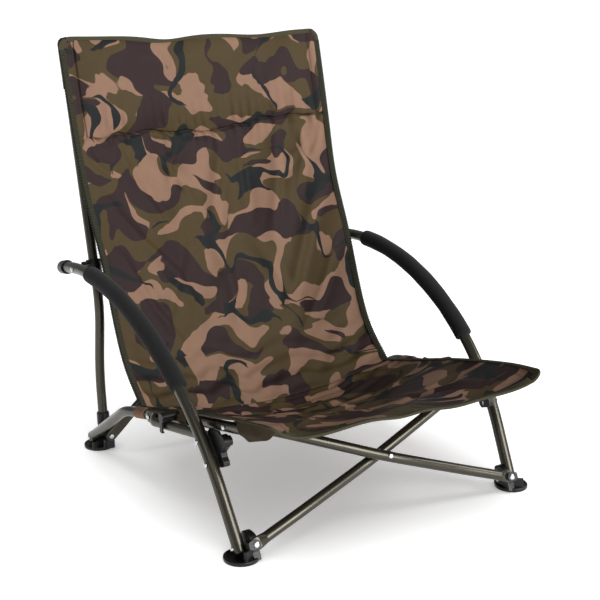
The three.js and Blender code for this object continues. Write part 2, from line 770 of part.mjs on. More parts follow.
  // Side link, outside the rail at the back and inside the leg at the front
  const railLine = railPoints[2].clone().sub(railPoints[1]).normalize();
  const linkHeight = (y) => THREE.MathUtils.lerp(linkPivot[1], linkTip[1],
    (linkPivot[0] - y) / (linkPivot[0] - linkTip[0]));
  const linkFlatX = linkX - (linkPivot[0] - linkFlatY) * side * railLine.x / railLine.y;
  const linkBack = sidePoint(side, linkX, linkPivot);
  const linkFront = sidePoint(side, linkTipX, linkTip);
  const linkFlat = sidePoint(side, linkFlatX, [linkFlatY, linkHeight(linkFlatY)]);
  const linkKnee = sidePoint(side, linkKneeX, [linkKneeY, linkHeight(linkKneeY)]);
  const linkBend = sidePoint(side, linkTipX, [linkTipY, linkHeight(linkTipY)]);
  const linkStart = linkFlat.clone().sub(linkBack).setLength(-flatReach).add(linkBack);
  const linkEnd = linkBend.clone().sub(linkFront).setLength(-flatReach).add(linkFront);
  const linkPath = bentPath([linkStart, linkFlat, linkKnee, linkBend, linkEnd], [linkRadius, linkRadius, linkRadius]);
  const link = tube(ringsForFlats(linkPath, true, true), linkRadius, tubeSides);
  const legFace = new THREE.Vector3(side, 0, -armSplay);
  flattenEnd(link, linkStart, linkFlat.clone().sub(linkStart), axisX, linkRadius);
  flattenEnd(link, linkEnd, linkBend.clone().sub(linkEnd), legFace, linkRadius);
  addPiece(`side_link_${label}`, cut(
    link,
    hole(linkBack.clone().addScaledVector(outward, -linkRadius * 2), outward, linkRadius * 4),
    hole(linkFront.clone().addScaledVector(outward, -linkRadius * 2), outward, linkRadius * 4),
  ), paint);
  addPiece(`rivet_link_rail_${label}`, blindRivet(
    linkBack.clone().addScaledVector(outward, halfFlat),
    outward,
    flatThickness,
    rivetRadius,
    rivetRise,
    slantGap,
  ), chrome);
  addPiece(`rivet_link_leg_${label}`, throughRivet(
    linkFront.clone().addScaledVector(inward, halfFlat),
    outward,
    legLinkX + legRadius - linkTipX + halfFlat,
    slantGap,
  ), chrome);

  // Clip on the rail that the link snaps into
  const clipRail = pathPointAtY(railPoints, clipY);
  const clipLinkShare = (linkKneeY - clipY) / (linkKneeY - linkTipY);
  const clipLink = linkKnee.clone().lerp(linkBend, clipLinkShare);
  const clipOuter = Math.abs(clipLink.x) + linkRadius + clipBore + clipWall;
  addPiece(`rail_clip_${label}`, cut(
    join(
      box(clipRail.x - side * tubeRadius, side * clipOuter, clipY - clipBar / 2, clipY + clipBar / 2,
        clipRail.z, clipRail.z + clipTop),
      box(side * (clipOuter - clipWall), side * clipOuter, clipY - clipWidth / 2, clipY + clipWidth / 2,
        clipLink.z - clipDrop, clipRail.z + clipTop),
    ),
    rod(clipRail.clone().addScaledVector(railLine, -clipBar), railLine, clipBar * 2,
      tubeRadius + clipBore, sliderSides),
    rod(clipLink.clone().addScaledVector(linkKnee.clone().sub(linkBend).normalize(), -clipBar),
      linkKnee.clone().sub(linkBend), clipBar * 2, linkRadius + clipBore, sliderSides),
  ), black);

  // Bracket inside the leg: a plate that leans with the leg, and a saddle under the rail's pin
  const plateOuter = footSpacing / 2 - legRadius - seatGap * 2;
  const plateInner = plateOuter - bracketThickness;
  const plateOutline = new THREE.Shape(bracketShares.map(([along, up]) => new THREE.Vector2(
    bracketCorner[0] + along * bracketLength,
    bracketCorner[1] + up * bracketHeight,
  )));
  const lean = new THREE.Matrix4().set(1, 0, side * armSplay, 0, 0, 1, 0, 0, 0, 0, 1, 0, 0, 0, 0, 1);
  const plate = sidePlate(side, plateOutline, plateInner, plateOuter);
  const saddle = sidePlate(side, blockOutline(saddleY, saddleY + saddleLength, saddleTop - saddleDepth, saddleTop),
    plateInner - saddleInner, plateOuter);
  addPiece(`leg_bracket_${label}`, cut(
    join(
      plate.applyMatrix4(lean),
      saddle.applyMatrix4(lean),
      throughRivet(sidePoint(side, legRivetX - legRadius - bracketThickness, bracketRivet), outward,
        legRadius * 2 + bracketThickness, slantGap),
    ),
    hole(sidePoint(side, plateInner - legRadius, linkTip), outward, legRadius * 4),
  ), black);
}

// Front crossed pair: the one from the right foot passes in front
for (const [side, label] of [[-1, 'left'], [1, 'right']]) {
  const footPin = sidePoint(side, frontPinX, frontPin);
  const topPin = sidePoint(-side, frontTopX, frontTop);
  const step = side * (tubeRadius + crossGap / 2);
  const { geometry, middle } = crossedTube(footPin, topPin, frontFace, step, frontBendShare,
    frontRise.clone().multiplyScalar(-frontBendDrop), frontFlatRun);
  const back = frontFace.clone().negate();
  const knuckleMatrix = new THREE.Matrix4().makeBasis(axisX, frontRise, frontFace.clone());
  const knuckle = new THREE.BoxGeometry(knuckleHalf * 2, knuckleRise * 2, knuckleDepth);
  knuckle.applyMatrix4(knuckleMatrix);
  const knucklePlace = topPin.clone().addScaledVector(back, halfFlat + seatGap + knuckleDepth / 2);
  knuckle.translate(knucklePlace.x, knucklePlace.y, knucklePlace.z);
  const drills = [
    hole(footPin.clone().addScaledVector(frontFace, tubeRadius), back, tubeRadius * 2),
    hole(topPin.clone().addScaledVector(frontFace, tubeRadius), back, tubeRadius * 2),
  ];
  if (side > 0) {
    const surface = middle.clone().addScaledVector(frontFace, tubeRadius);
    drills.push(hole(surface, back, tubeRadius * 2 + overrun));
    addPiece('rivet_front_cross', blindRivet(surface, frontFace, tubeRadius * 2), chrome);
  }
  addPiece(`front_tube_${label}`, cut(geometry, ...drills), paint);
  addPiece(`knuckle_${label}`, join(knuckle, blindRivet(
    topPin.clone().addScaledVector(frontFace, halfFlat),
    frontFace,
    flatThickness + knuckleDepth / 2,
  )), black);
}

// Rear crossed pair, on one pin through both tubes
for (const [side, label] of [[-1, 'left'], [1, 'right']]) {
  const footPin = new THREE.Vector3(side * rearPinX, rearPinY, rearPinHeight);
  const topPin = new THREE.Vector3(-side * rearPinX, rearPinY, rearTopHeight);
  const step = side * (tubeRadius + crossGap / 2);
  const { geometry, middle } = crossedTube(footPin, topPin, rearFace, step, rearBendShare,
    new THREE.Vector3(0, 0, rearBendRise), rearFlatRun);
  addPiece(`rear_tube_${label}`, cut(
    geometry,
    hole(footPin.clone().addScaledVector(axisY, -tubeRadius), axisY, tubeRadius * 2),
    hole(topPin.clone().addScaledVector(axisY, -tubeRadius), axisY, tubeRadius * 2),
    hole(middle.clone().addScaledVector(axisY, -tubeRadius * 2), axisY, tubeRadius * 4),
  ), paint);
  if (side > 0) {
    const reach = tubeRadius * 2 + crossGap / 2;
    addPiece('rivet_rear_cross', throughRivet(
      new THREE.Vector3(0, rearPinY - reach, (rearPinHeight + rearTopHeight) / 2),
      axisY,
      reach * 2,
    ), chrome);
  }
}

// The sling, over a share u from left to right and a share v along its edge
function slingSurface(halves, edges, sags, wrinkles) {
  const edge = new THREE.CatmullRomCurve3(edges.map(([y, z], i) => new THREE.Vector3(halves[i], y, z)));
  const sag = new THREE.CatmullRomCurve3(sags.map(([y, z], i) => new THREE.Vector3(i, y, z)));
  return (u, v) => {
    const across = u * 2 - 1;
    const belly = 1 - across * across;
    const point = edge.getPoint(v);
    const move = sag.getPoint(v);
    const fold = wrinkles(v) * wrinkleDepth * belly * Math.cos(across * wrinkleCount * Math.PI);
    return new THREE.Vector3(point.x * across, point.y + move.y * belly, point.z + move.z * belly - fold);
  };
}

const backEdge = backHeightShares.map((share, i) => {
  const height = share * uprightTop[1];
  const lean = (uprightTop[0] - uprightHighBend[0]) / (uprightTop[1] - uprightHighBend[1]);
  return [uprightTop[0] + (height - uprightTop[1]) * lean - backSetIn[i], height];
});
const backSurface = slingSurface(backHalf, backEdge, backSag, (v) => v ** (wrinkleCount * 2));
const seatSurface = slingSurface(seatHalf, seatEdge, seatSag, (v) => (1 - v) ** (wrinkleCount * 2));

// The back, with a pocket over each upright's top
const topPockets = [-1, 1].map((side) => {
  const top = sidePoint(side, uprightX, uprightTop);
  const down = sidePoint(side, uprightX, uprightHighBend).sub(top).normalize();
  const start = top.clone().addScaledVector(down, -pocketCap - pocketBore);
  const inner = tubeRadius + pocketBore;
  return {
    shell: rod(start, down, topPocketLength, inner + pocketWall, pocketSides),
    bore: rod(top.clone().addScaledVector(down, -pocketBore), down, topPocketLength * 2, inner, pocketSides),
  };
});
addPiece('sling_back', cut(
  join(clothSolid(backSurface, clothColumns, backRows, clothThickness), ...topPockets.map((pocket) => pocket.shell)),
  ...topPockets.map((pocket) => pocket.bore),
), cloth);
addPiece('sling_seat', clothSolid(seatSurface, clothColumns, seatRows, clothThickness), cloth);

// Headrest pad on the front of the back
const padSurface = (u, v) => {
  const share = THREE.MathUtils.lerp(padMarginShare, 1 - padMarginShare, u);
  const run = THREE.MathUtils.lerp(padStartShare, padEndShare, v);
  const point = backSurface(share, run);
  const rise = backSurface(share, run + padMarginShare).sub(point).normalize();
  const face = rise.clone().cross(axisX).normalize();
  return point.addScaledVector(face, clothThickness / 2 + seatGap + padThickness / 2);
};
const padProfile = (u, v) => {
  const edge = Math.min(u, 1 - u, v, 1 - v);
  return padThickness * (1 - (1 - THREE.MathUtils.smoothstep(edge, 0, padRoundShare)) / 2);
};
addPiece('headrest_pad', clothSolid(padSurface, padColumns, padRows, padProfile), cloth);

// Loops and corner pockets that hold the seat on the rails
for (const [side, label] of [[-1, 'left'], [1, 'right']]) {
  const points = [[railPivotX, railPivot], [railBendX, railBend], [railMiddleX, railMiddle], [railTipX, railTip]]
    .map(([x, point]) => sidePoint(side, x, point));
  loopSpans.forEach(([from, to], i) => {
    const start = pathPointAtY(points, from);
    const line = pathPointAtY(points, to).sub(start);
    const bore = tubeRadius + loopBore;
    const middle = start.clone().addScaledVector(line, 1 / 2);
    addPiece(`rail_loop_${i + 1}_${label}`, cut(
      rod(start, line, line.length(), bore + loopWall, pocketSides),
      rod(start.clone().sub(line), line, line.length() * 3, bore, pocketSides),
    ), cloth);
  });
  const tip = points[3];
  const line = points[2].clone().sub(tip).normalize();
  const bore = tubeRadius + pocketBore;
  addPiece(`corner_pocket_${label}`, cut(
    rod(tip.clone().addScaledVector(line, -pocketCap - pocketBore), line, cornerPocketLength,
      bore + loopWall, pocketSides),
    rod(tip.clone().addScaledVector(line, -pocketBore), line, cornerPocketLength * 2, bore, pocketSides),
  ), brown);
}

// The chair's own middle lies over the origin, and its feet stand on the ground
const bounds = new THREE.Box3().setFromObject(chair);
const centreY = (bounds.min.y + bounds.max.y) / 2;
for (const mesh of chair.children) {
  mesh.geometry.translate(0, -centreY, 0);
}

export default chair;
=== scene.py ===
"""Low folding fishing chair: tube frame, moulded feet, foam arm grips and a printed fabric sling."""
import bpy
import bmesh
import math
import numpy as np
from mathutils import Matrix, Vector


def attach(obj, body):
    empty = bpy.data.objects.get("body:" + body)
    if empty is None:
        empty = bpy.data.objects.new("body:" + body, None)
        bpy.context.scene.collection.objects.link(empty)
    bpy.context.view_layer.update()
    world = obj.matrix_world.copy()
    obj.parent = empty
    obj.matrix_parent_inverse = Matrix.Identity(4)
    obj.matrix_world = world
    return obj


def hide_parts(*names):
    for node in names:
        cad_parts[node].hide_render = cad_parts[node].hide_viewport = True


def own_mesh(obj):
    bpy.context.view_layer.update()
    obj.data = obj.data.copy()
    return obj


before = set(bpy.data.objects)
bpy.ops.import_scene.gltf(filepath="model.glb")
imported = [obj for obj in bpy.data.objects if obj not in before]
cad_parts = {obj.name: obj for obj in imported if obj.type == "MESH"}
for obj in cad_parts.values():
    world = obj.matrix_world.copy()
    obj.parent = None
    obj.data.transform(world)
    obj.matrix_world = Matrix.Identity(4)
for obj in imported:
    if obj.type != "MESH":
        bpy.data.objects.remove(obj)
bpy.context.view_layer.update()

# Camera and stage.
# The photograph's own viewpoint, a white sweep under the chair and broad soft studio light.
scene = bpy.context.scene
camera_data = bpy.data.cameras.new("camera")
camera_data.lens = 76.737
camera_data.sensor_width = 36
camera_data.clip_end = 100
camera = bpy.data.objects.new("camera", camera_data)
camera.location = (-1.2173, -2.0221, 0.9619)
camera.rotation_euler = (math.radians(90 - 14.9644), 0, math.radians(-31.4376))
scene.collection.objects.link(camera)
scene.camera = camera

sweep_mesh = bpy.data.meshes.new("sweep")
sweep_mesh.from_pydata([(-60, -60, 0), (60, -60, 0), (60, 60, 0), (-60, 60, 0)], [], [(0, 1, 2, 3)])
sweep = bpy.data.objects.new("sweep", sweep_mesh)
scene.collection.objects.link(sweep)
paper = bpy.data.materials.new("white paper")
paper.use_nodes = True
paper.node_tree.nodes["Principled BSDF"].inputs["Base Color"].default_value = (0.95, 0.95, 0.95, 1)
paper.node_tree.nodes["Principled BSDF"].inputs["Roughness"].default_value = 0.9
paper.node_tree.nodes["Principled BSDF"].inputs["Emission Color"].default_value = (1, 1, 1, 1)
paper.node_tree.nodes["Principled BSDF"].inputs["Emission Strength"].default_value = 0.34
sweep_mesh.materials.append(paper)

# A far white backdrop that is only seen: it neither lights the chair nor shades it.
around = [(-59, -59), (59, -59), (59, 59), (-59, 59)]
backdrop_mesh = bpy.data.meshes.new("backdrop")
backdrop_mesh.from_pydata([(x, y, z) for z in (0, 60) for x, y in around], [],
                          [(i, i + 4, (i + 1) % 4 + 4, (i + 1) % 4) for i in range(4)])
backdrop = bpy.data.objects.new("backdrop", backdrop_mesh)
scene.collection.objects.link(backdrop)
backdrop.visible_diffuse = backdrop.visible_glossy = backdrop.visible_transmission = backdrop.visible_shadow = False
white = bpy.data.materials.new("white backdrop")
white.use_nodes = True
white.node_tree.nodes["Principled BSDF"].inputs["Base Color"].default_value = (0, 0, 0, 1)
white.node_tree.nodes["Principled BSDF"].inputs["Emission Color"].default_value = (1, 1, 1, 1)
white.node_tree.nodes["Principled BSDF"].inputs["Emission Strength"].default_value = 1.0
backdrop_mesh.materials.append(white)

world = bpy.data.worlds.new("studio")
world.use_nodes = True
world.node_tree.nodes["Background"].inputs["Color"].default_value = (1, 1, 1, 1)
world.node_tree.nodes["Background"].inputs["Strength"].default_value = 0.30
scene.world = world
scene.view_settings.view_transform = "Standard"
scene.view_settings.look = "None"

for name, place, size, power in (
    ("side light", (2.6, -1.4, 2.2), 1.2, 34),
    ("front light", (-2.4, -2.4, 2.6), 1.6, 12),
    ("top light", (0.2, 0.8, 3.4), 2.0, 3),
):
    lamp_data = bpy.data.lights.new(name, "AREA")
    lamp_data.size = size
    lamp_data.energy = power
    lamp = bpy.data.objects.new(name, lamp_data)
    lamp.location = place
    lamp.rotation_euler = (Vector((0, 0, 0.35)) - Vector(place)).to_track_quat("-Z", "Y").to_euler()
    scene.collection.objects.link(lamp)
for name, energy, angle, way, state in (
    ("broad light", 3.7, 40, (-0.30, 0.90, -0.36), "EXCLUDE"),     # lights the chair but not the paper
    ("paper light", 1.9, 56, (0.05, 0.06, -1.0), "INCLUDE"),       # lights the paper from straight above
):
    sun_data = bpy.data.lights.new(name, "SUN")
    sun_data.energy = energy
    sun_data.angle = math.radians(angle)
    sun = bpy.data.objects.new(name, sun_data)
    sun.rotation_euler = Vector(way).to_track_quat("-Z", "Y").to_euler()
    scene.collection.objects.link(sun)
    lit = bpy.data.collections.new(name)
    lit.objects.link(sweep)
    lit.collection_objects[0].light_linking.link_state = state
    sun.light_linking.receiver_collection = lit


# Legs and arms.
# Each is one length of 22 mm steel tube, rolled to two long bends and powder coated gunmetal. It
# starts beside the front foot, passes the seat and runs back as the arm.
MIDDLE_BACK = -19.633          # the chair's own middle lies over the origin
LEG_RADIUS = 11.0
FOOT_SIDE = 290.0              # each foot stands this far out
LEG_LEAN = 0.077               # and each leg leans out by this much as it rises


def finished_mesh(name, corners, faces, material, flip=False):
    """A smooth closed mesh from corners in millimetres of the frame's own drawing."""
    mesh = bpy.data.meshes.new(name)
    points = (np.asarray(corners, float) + (0, MIDDLE_BACK, 0)) / 1000
    mesh.from_pydata(points.tolist(), [], [tuple(reversed(f)) for f in faces] if flip else faces)
    mesh.materials.append(material)
    mesh.shade_smooth()
    piece = bpy.data.objects.new(name, mesh)
    scene.collection.objects.link(piece)
    return piece


def outward(piece):
    """Turns the faces of a closed mesh outwards."""
    shell = bmesh.new()
    shell.from_mesh(piece.data)
    bmesh.ops.remove_doubles(shell, verts=shell.verts, dist=1e-7)
    bmesh.ops.recalc_face_normals(shell, faces=shell.faces)
    if shell.calc_volume(signed=True) < 0:
        bmesh.ops.reverse_faces(shell, faces=shell.faces)
    shell.to_mesh(piece.data)
    shell.free()
    return piece


def unit(way):
    """The direction of a way, one long."""
    return np.asarray(way, float) / np.linalg.norm(way)


def fitted(piece, node, body):
    """Puts a finished piece in its solid's place, with its finish, on the part that carries it."""
    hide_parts(node)
    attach(piece, body)


def crisp(piece, angle=35):
    """Keeps edges sharper than the angle crisp, and the rest smooth."""
    piece.data.set_sharp_from_angle(angle=math.radians(angle))
    return piece


def coat(name, colour, roughness, metallic, speck, speck_scale, bump, coat_weight=0.0, wear=None):
    """A sprayed or moulded surface: a colour with a fine speck, a slow tone change and a fine bump."""
    material = bpy.data.materials.new(name)
    material.use_nodes = True
    nodes, links = material.node_tree.nodes, material.node_tree.links
    shader = nodes["Principled BSDF"]
    shader.inputs["Metallic"].default_value = metallic
    shader.inputs["Coat Weight"].default_value = coat_weight
    shader.inputs["Coat Roughness"].default_value = 0.25
    place = nodes.new("ShaderNodeTexCoord")
    fine = nodes.new("ShaderNodeTexNoise")
    fine.inputs["Scale"].default_value = speck_scale
    fine.inputs["Detail"].default_value = 3
    slow = nodes.new("ShaderNodeTexNoise")
    slow.inputs["Scale"].default_value = 14
    slow.inputs["Detail"].default_value = 4
    for texture in (fine, slow):
        links.new(place.outputs["Object"], texture.inputs["Vector"])
    tone = nodes.new("ShaderNodeMix")
    tone.data_type = "RGBA"
    tone.inputs["A"].default_value = (*[c * (1 - speck) for c in colour], 1)
    tone.inputs["B"].default_value = (*[min(1, c * (1 + speck)) for c in colour], 1)
    links.new(fine.outputs["Fac"], tone.inputs["Factor"])
    drift = nodes.new("ShaderNodeMix")
    drift.data_type = "RGBA"
    drift.blend_type = "MULTIPLY"
    drift.inputs["Factor"].default_value = 0.35
    ramp = nodes.new("ShaderNodeValToRGB")
    ramp.color_ramp.elements[0].position = 0.3
    ramp.color_ramp.elements[0].color = (0.72, 0.72, 0.72, 1)
    ramp.color_ramp.elements[1].position = 0.7
    links.new(slow.outputs["Fac"], ramp.inputs["Fac"])
    links.new(tone.outputs["Result"], drift.inputs["A"])
    links.new(ramp.outputs["Color"], drift.inputs["B"])
    links.new(drift.outputs["Result"], shader.inputs["Base Color"])
    spread = nodes.new("ShaderNodeMapRange")
    spread.inputs["From Min"].default_value = 0.3
    spread.inputs["From Max"].default_value = 0.7
    spread.inputs["To Min"].default_value = roughness - 0.06
    spread.inputs["To Max"].default_value = roughness + 0.08
    links.new(slow.outputs["Fac"], spread.inputs["Value"])
    links.new(spread.outputs["Result"], shader.inputs["Roughness"])
    relief = nodes.new("ShaderNodeBump")
    relief.inputs["Strength"].default_value = bump
    relief.inputs["Distance"].default_value = 0.0006
    links.new(fine.outputs["Fac"], relief.inputs["Height"])
    links.new(relief.outputs["Normal"], shader.inputs["Normal"])
    if wear:
        edge = nodes.new("ShaderNodeNewGeometry")
        rub = nodes.new("ShaderNodeMapRange")
        rub.inputs["From Min"].default_value = 0.56
        rub.inputs["From Max"].default_value = 0.64
        links.new(edge.outputs["Pointiness"], rub.inputs["Value"])
        worn = nodes.new("ShaderNodeMix")
        worn.data_type = "RGBA"
        worn.inputs["B"].default_value = (*wear, 1)
        links.new(rub.outputs["Result"], worn.inputs["Factor"])
        links.new(drift.outputs["Result"], worn.inputs["A"])
        links.new(worn.outputs["Result"], shader.inputs["Base Color"])
    return material


gunmetal = coat("gunmetal powder coat", (0.054, 0.050, 0.036), 0.26, 0.78, 0.16, 1400, 0.10, 0.2,
                wear=(0.26, 0.25, 0.22))


def corner_path(points, reaches, step=5.0):
    """Points along straight runs whose corners are rounded over the given reach."""
    points = [np.asarray(p, float) for p in points]
    out = [points[0]]
    for i in range(1, len(points) - 1):
        corner, reach = points[i], reaches[i - 1]
        before = corner + unit(points[i - 1] - corner) * reach
        after = corner + unit(points[i + 1] - corner) * reach
        for k in range(13):
            t = k / 12
            out.append(before * (1 - t) ** 2 + corner * 2 * t * (1 - t) + after * t * t)
    out.append(points[-1])
    dense = [out[0]]
    for a, b in zip(out[:-1], out[1:]):
        pieces = max(1, int(np.ceil(np.linalg.norm(b - a) / step)))
        dense += [a + (b - a) * k / pieces for k in range(1, pieces + 1)]
    return np.array(dense)


def swept(path, radii, sides):
    """Rings of corners round a path, one for each of its points, each ring its own radius."""
    tangents = np.gradient(path, axis=0)
    tangents /= np.linalg.norm(tangents, axis=1)[:, None]
    across = np.cross(tangents[0], (0, 0, 1) if abs(tangents[0][2]) < 0.9 else (0, 1, 0))
    rings = []
    turns = np.arange(sides) / sides * 2 * math.pi
    for point, tangent, radius in zip(path, tangents, np.broadcast_to(radii, (len(path),))):
        across = across - tangent * (across @ tangent)
        across /= np.linalg.norm(across)
        other = np.cross(tangent, across)
        rings.append(point + radius * (np.cos(turns)[:, None] * across + np.sin(turns)[:, None] * other))
    return np.array(rings)


def skin(rings, closed_ends=True, loop=False):
    """Corners and faces of the surface through rings of equal length."""
    count, sides = rings.shape[:2]
    faces = []
    for j in range(count if loop else count - 1):
        a, b = j * sides, ((j + 1) % count) * sides
        faces += [(a + i, a + (i + 1) % sides, b + (i + 1) % sides, b + i) for i in range(sides)]
    if closed_ends and not loop:
        faces.append(tuple(reversed(range(sides))))
        faces.append(tuple(range((count - 1) * sides, count * sides)))
    return rings.reshape(-1, 3), faces


def leg_axis(side, start=0.0, end=10000.0, step=5.0):
    """The leg tube's axis between two distances from its lower end."""
    bends = ((519.0, math.radians(26.6)), (594.0, math.radians(46.2)))
    whole = 95.0 + sum(r * a for r, a in bends) + 8.0
    end = min(end, whole)
    runs = np.linspace(start, end, max(2, int((end - start) / step)))
    out = []
    for run in runs:
        turn, y, z = math.radians(60.8), -294.0, 15.0
        part = min(run, 95.0)
        y, z, left = y + math.cos(turn) * part, z + math.sin(turn) * part, run - part
        for radius, angle in bends:
            bend = min(left / radius, angle)
            y += radius * (math.sin(turn) - math.sin(turn - bend))
            z += radius * (math.cos(turn - bend) - math.cos(turn))
            turn -= bend
            left -= bend * radius
        y, z = y + math.cos(turn) * left, z + math.sin(turn) * left
        out.append((side * (FOOT_SIDE + LEG_LEAN * z), y, z))
    return np.array(out)


SIDES = ((-1, "left"), (1, "right"))
for side, hand in SIDES:
    axis = leg_axis(side)
    axis = np.concatenate([[axis[0] - unit(axis[1] - axis[0]) * 5], axis])
    ends = np.minimum(1, np.minimum(np.arange(len(axis)), np.arange(len(axis))[::-1]) / 1.0)
    tube = finished_mesh(f"leg_tube_{hand}", *skin(swept(axis, LEG_RADIUS - 0.5 * (1 - ends), 40)), gunmetal)
    outward(tube)
    crisp(tube)
    fitted(tube, f"leg_{hand}", f"leg_{hand}")


# Arm grips.
# Closed-cell foam sleeves slid over the arms, 33 mm across, with softly rounded ends and the
# slightly uneven skin that such foam has.
foam = coat("foam grip", (0.0068, 0.0065, 0.0068), 0.86, 0.0, 0.55, 900, 0.55)
foam.node_tree.nodes["Principled BSDF"].inputs["Specular IOR Level"].default_value = 0.15
foam.node_tree.nodes["Principled BSDF"].inputs["Sheen Weight"].default_value = 0.06
foam.node_tree.nodes["Principled BSDF"].inputs["Sheen Roughness"].default_value = 0.6
for side, hand in SIDES:
    axis = leg_axis(side, 292, 682, 3.0)
    run = np.linspace(0, 390, len(axis))
    inset = np.minimum(run, 390 - run)
    rng = np.random.default_rng(7 if side < 0 else 8)
    wave = sum(a * np.sin(run / w + p) for a, w, p in zip((0.22, 0.16, 0.12), (31, 17, 9), rng.uniform(0, 6, 3)))
    rim = 5.0
    round_off = np.where(inset < rim, rim - np.sqrt(np.maximum(0, rim**2 - (rim - inset) ** 2)), 0)
    outer = swept(axis, 16.5 + wave - np.minimum(round_off, 4.2), 48)
    inner = swept(axis, np.full(len(axis), 11.25), 48)
    rings = np.concatenate([outer, inner[::-1]])
    grip = outward(finished_mesh(f"arm_grip_{hand}", *skin(rings, loop=True), foam))
    crisp(grip, 60)
    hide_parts(f"arm_foam_{hand}")
    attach(grip, f"leg_{hand}")


# Arm ends.
# Black nylon caps pushed over the arms' rear ends, each with a raised lip and a rivet through it.
nylon = coat("black nylon", (0.0042, 0.0042, 0.0045), 0.36, 0.0, 0.35, 1500, 0.22, 0.05,
             wear=(0.045, 0.045, 0.047))
nylon.node_tree.nodes["Principled BSDF"].inputs["Specular IOR Level"].default_value = 0.3


def turned(profile, start, along, sides=48):
    """Rings of a turned piece from rows of radius and distance along its axis."""
    along = unit(along)
    across = np.cross(along, (0, 0, 1) if abs(along[2]) < 0.9 else (0, 1, 0))
    across /= np.linalg.norm(across)
    other = np.cross(along, across)
    turns = np.arange(sides) / sides * 2 * math.pi
    ring = np.cos(turns)[:, None] * across + np.sin(turns)[:, None] * other
    return np.array([np.asarray(start, float) + along * run + ring * max(radius, 0.01) for radius, run in profile])


def eased(rows, reach=0.8, steps=4):
    """The same profile with each of its inner corners rounded."""
    rows = [np.asarray(r, float) for r in rows]
    out = [rows[0]]
    for before, corner, after in zip(rows[:-2], rows[1:-1], rows[2:]):
        a, b = before - corner, after - corner
        la, lb = np.linalg.norm(a), np.linalg.norm(b)
        cut = min(reach, la * 0.45, lb * 0.45)
        for k in range(steps + 1):
            t = k / steps
            out.append((corner + a / la * cut) * (1 - t) ** 2 + corner * 2 * t * (1 - t)
                       + (corner + b / lb * cut) * t * t)
    out.append(rows[-1])
    return out


for side, hand in SIDES:
    axis = leg_axis(side)
    end, along = axis[-1], axis[-1] - axis[-2]
    rows = eased([(0, 0.3), (11.3, 0.3), (11.3, -22), (14.3, -22), (14.3, -17), (13.4, -15),
                  (13.4, 2.6), (11.6, 5), (0, 5.6)], 1.0)
    cap = outward(finished_mesh(f"arm_end_{hand}", *skin(turned(rows, end, along), loop=False), nylon))
    crisp(cap, 50)
    fitted(cap, f"arm_cap_{hand}", f"leg_{hand}")


# Feet.
# Black nylon mouldings: a round pad with a thin raised rim, a web across it and a hub that the tubes
# are riveted to. The front ones also fork round the crossed tube's end; the rear ones are lower.
def slab(outline, low, high):
    """Corners and faces of a plate: an outline of (y, z) points carried along x."""
    count = len(outline)
    corners = [(low, y, z) for y, z in outline] + [(high, y, z) for y, z in outline]
    faces = [tuple(range(count)), tuple(reversed(range(count, 2 * count)))]
    faces += [(i, i + count, (i + 1) % count + count, (i + 1) % count) for i in range(count)]
    return corners, faces


def rounded(y0, y1, z0, z1, corner, lean=0.0, steps=6):
    """An upright block's outline with round upper corners; its front edge may lean."""
    points = [(y0, z0), (y1, z0)]
    for k in range(steps + 1):
        t = k / steps * math.pi / 2
        points.append((y1 - corner + corner * math.cos(t), z1 - corner + corner * math.sin(t)))
    for k in range(steps + 1):
        t = math.pi / 2 + k / steps * math.pi / 2
        z = z1 - corner + corner * math.sin(t)
        points.append((y0 + corner + corner * math.cos(t) + lean * (z - z0), z))
    return points


def moulded(name, solids, material, voxel=0.7, smooth=5, flat_foot=None, bores=()):
    """One nylon moulding from overlapping solids: joined, with every corner softened."""
    joined = bmesh.new()
    for corners, faces in solids:
        made = [joined.verts.new(tuple(float(c) for c in corner)) for corner in corners]
        for face in faces:
            joined.faces.new([made[i] for i in face])
    bmesh.ops.recalc_face_normals(joined, faces=joined.faces)
    raw = bpy.data.meshes.new(name + "_raw")
    joined.to_mesh(raw)
    joined.free()
    block = bpy.data.objects.new(name + "_raw", raw)
    scene.collection.objects.link(block)
    remesh = block.modifiers.new("one skin", "REMESH")
    remesh.mode = "VOXEL"
    remesh.voxel_size = voxel
    remesh.use_smooth_shade = True
    soften = block.modifiers.new("soft corners", "SMOOTH")
    soften.factor = 0.5
    soften.iterations = smooth
    cutters = []
    for number, (start, along, length, radius) in enumerate(bores):
        rows = [(0, 0), (radius, 0), (radius, length), (0, length)]
        corners, faces = skin(turned(rows, start, along, 40), loop=False)
        mesh = bpy.data.meshes.new(f"{name}_bore_{number}")
        mesh.from_pydata([tuple(c) for c in corners], [], faces)
        cutter = bpy.data.objects.new(mesh.name, mesh)
        scene.collection.objects.link(cutter)
        outward(cutter)
        drill = block.modifiers.new(f"bore {number}", "BOOLEAN")
        drill.operation = "DIFFERENCE"
        drill.object = cutter
        cutters.append(cutter)
    bpy.context.view_layer.update()
    made = bpy.data.meshes.new_from_object(block.evaluated_get(bpy.context.evaluated_depsgraph_get()))
    for used in [block] + cutters:
        bpy.data.objects.remove(used)
    place = np.array([v.co for v in made.vertices], float)
    if flat_foot is not None:
        place[:, 2] = np.maximum(place[:, 2], flat_foot)
        place[:, 2] = np.where(place[:, 2] < flat_foot + voxel * 0.8, flat_foot, place[:, 2])
    made.vertices.foreach_set("co", ((place + (0, MIDDLE_BACK, 0)) / 1000).ravel())
    made.update()
    made.name = name
    made.materials.clear()
    made.materials.append(material)
    piece = bpy.data.objects.new(name, made)
    scene.collection.objects.link(piece)
    outward(piece)
    crisp(piece, 50)
    return piece


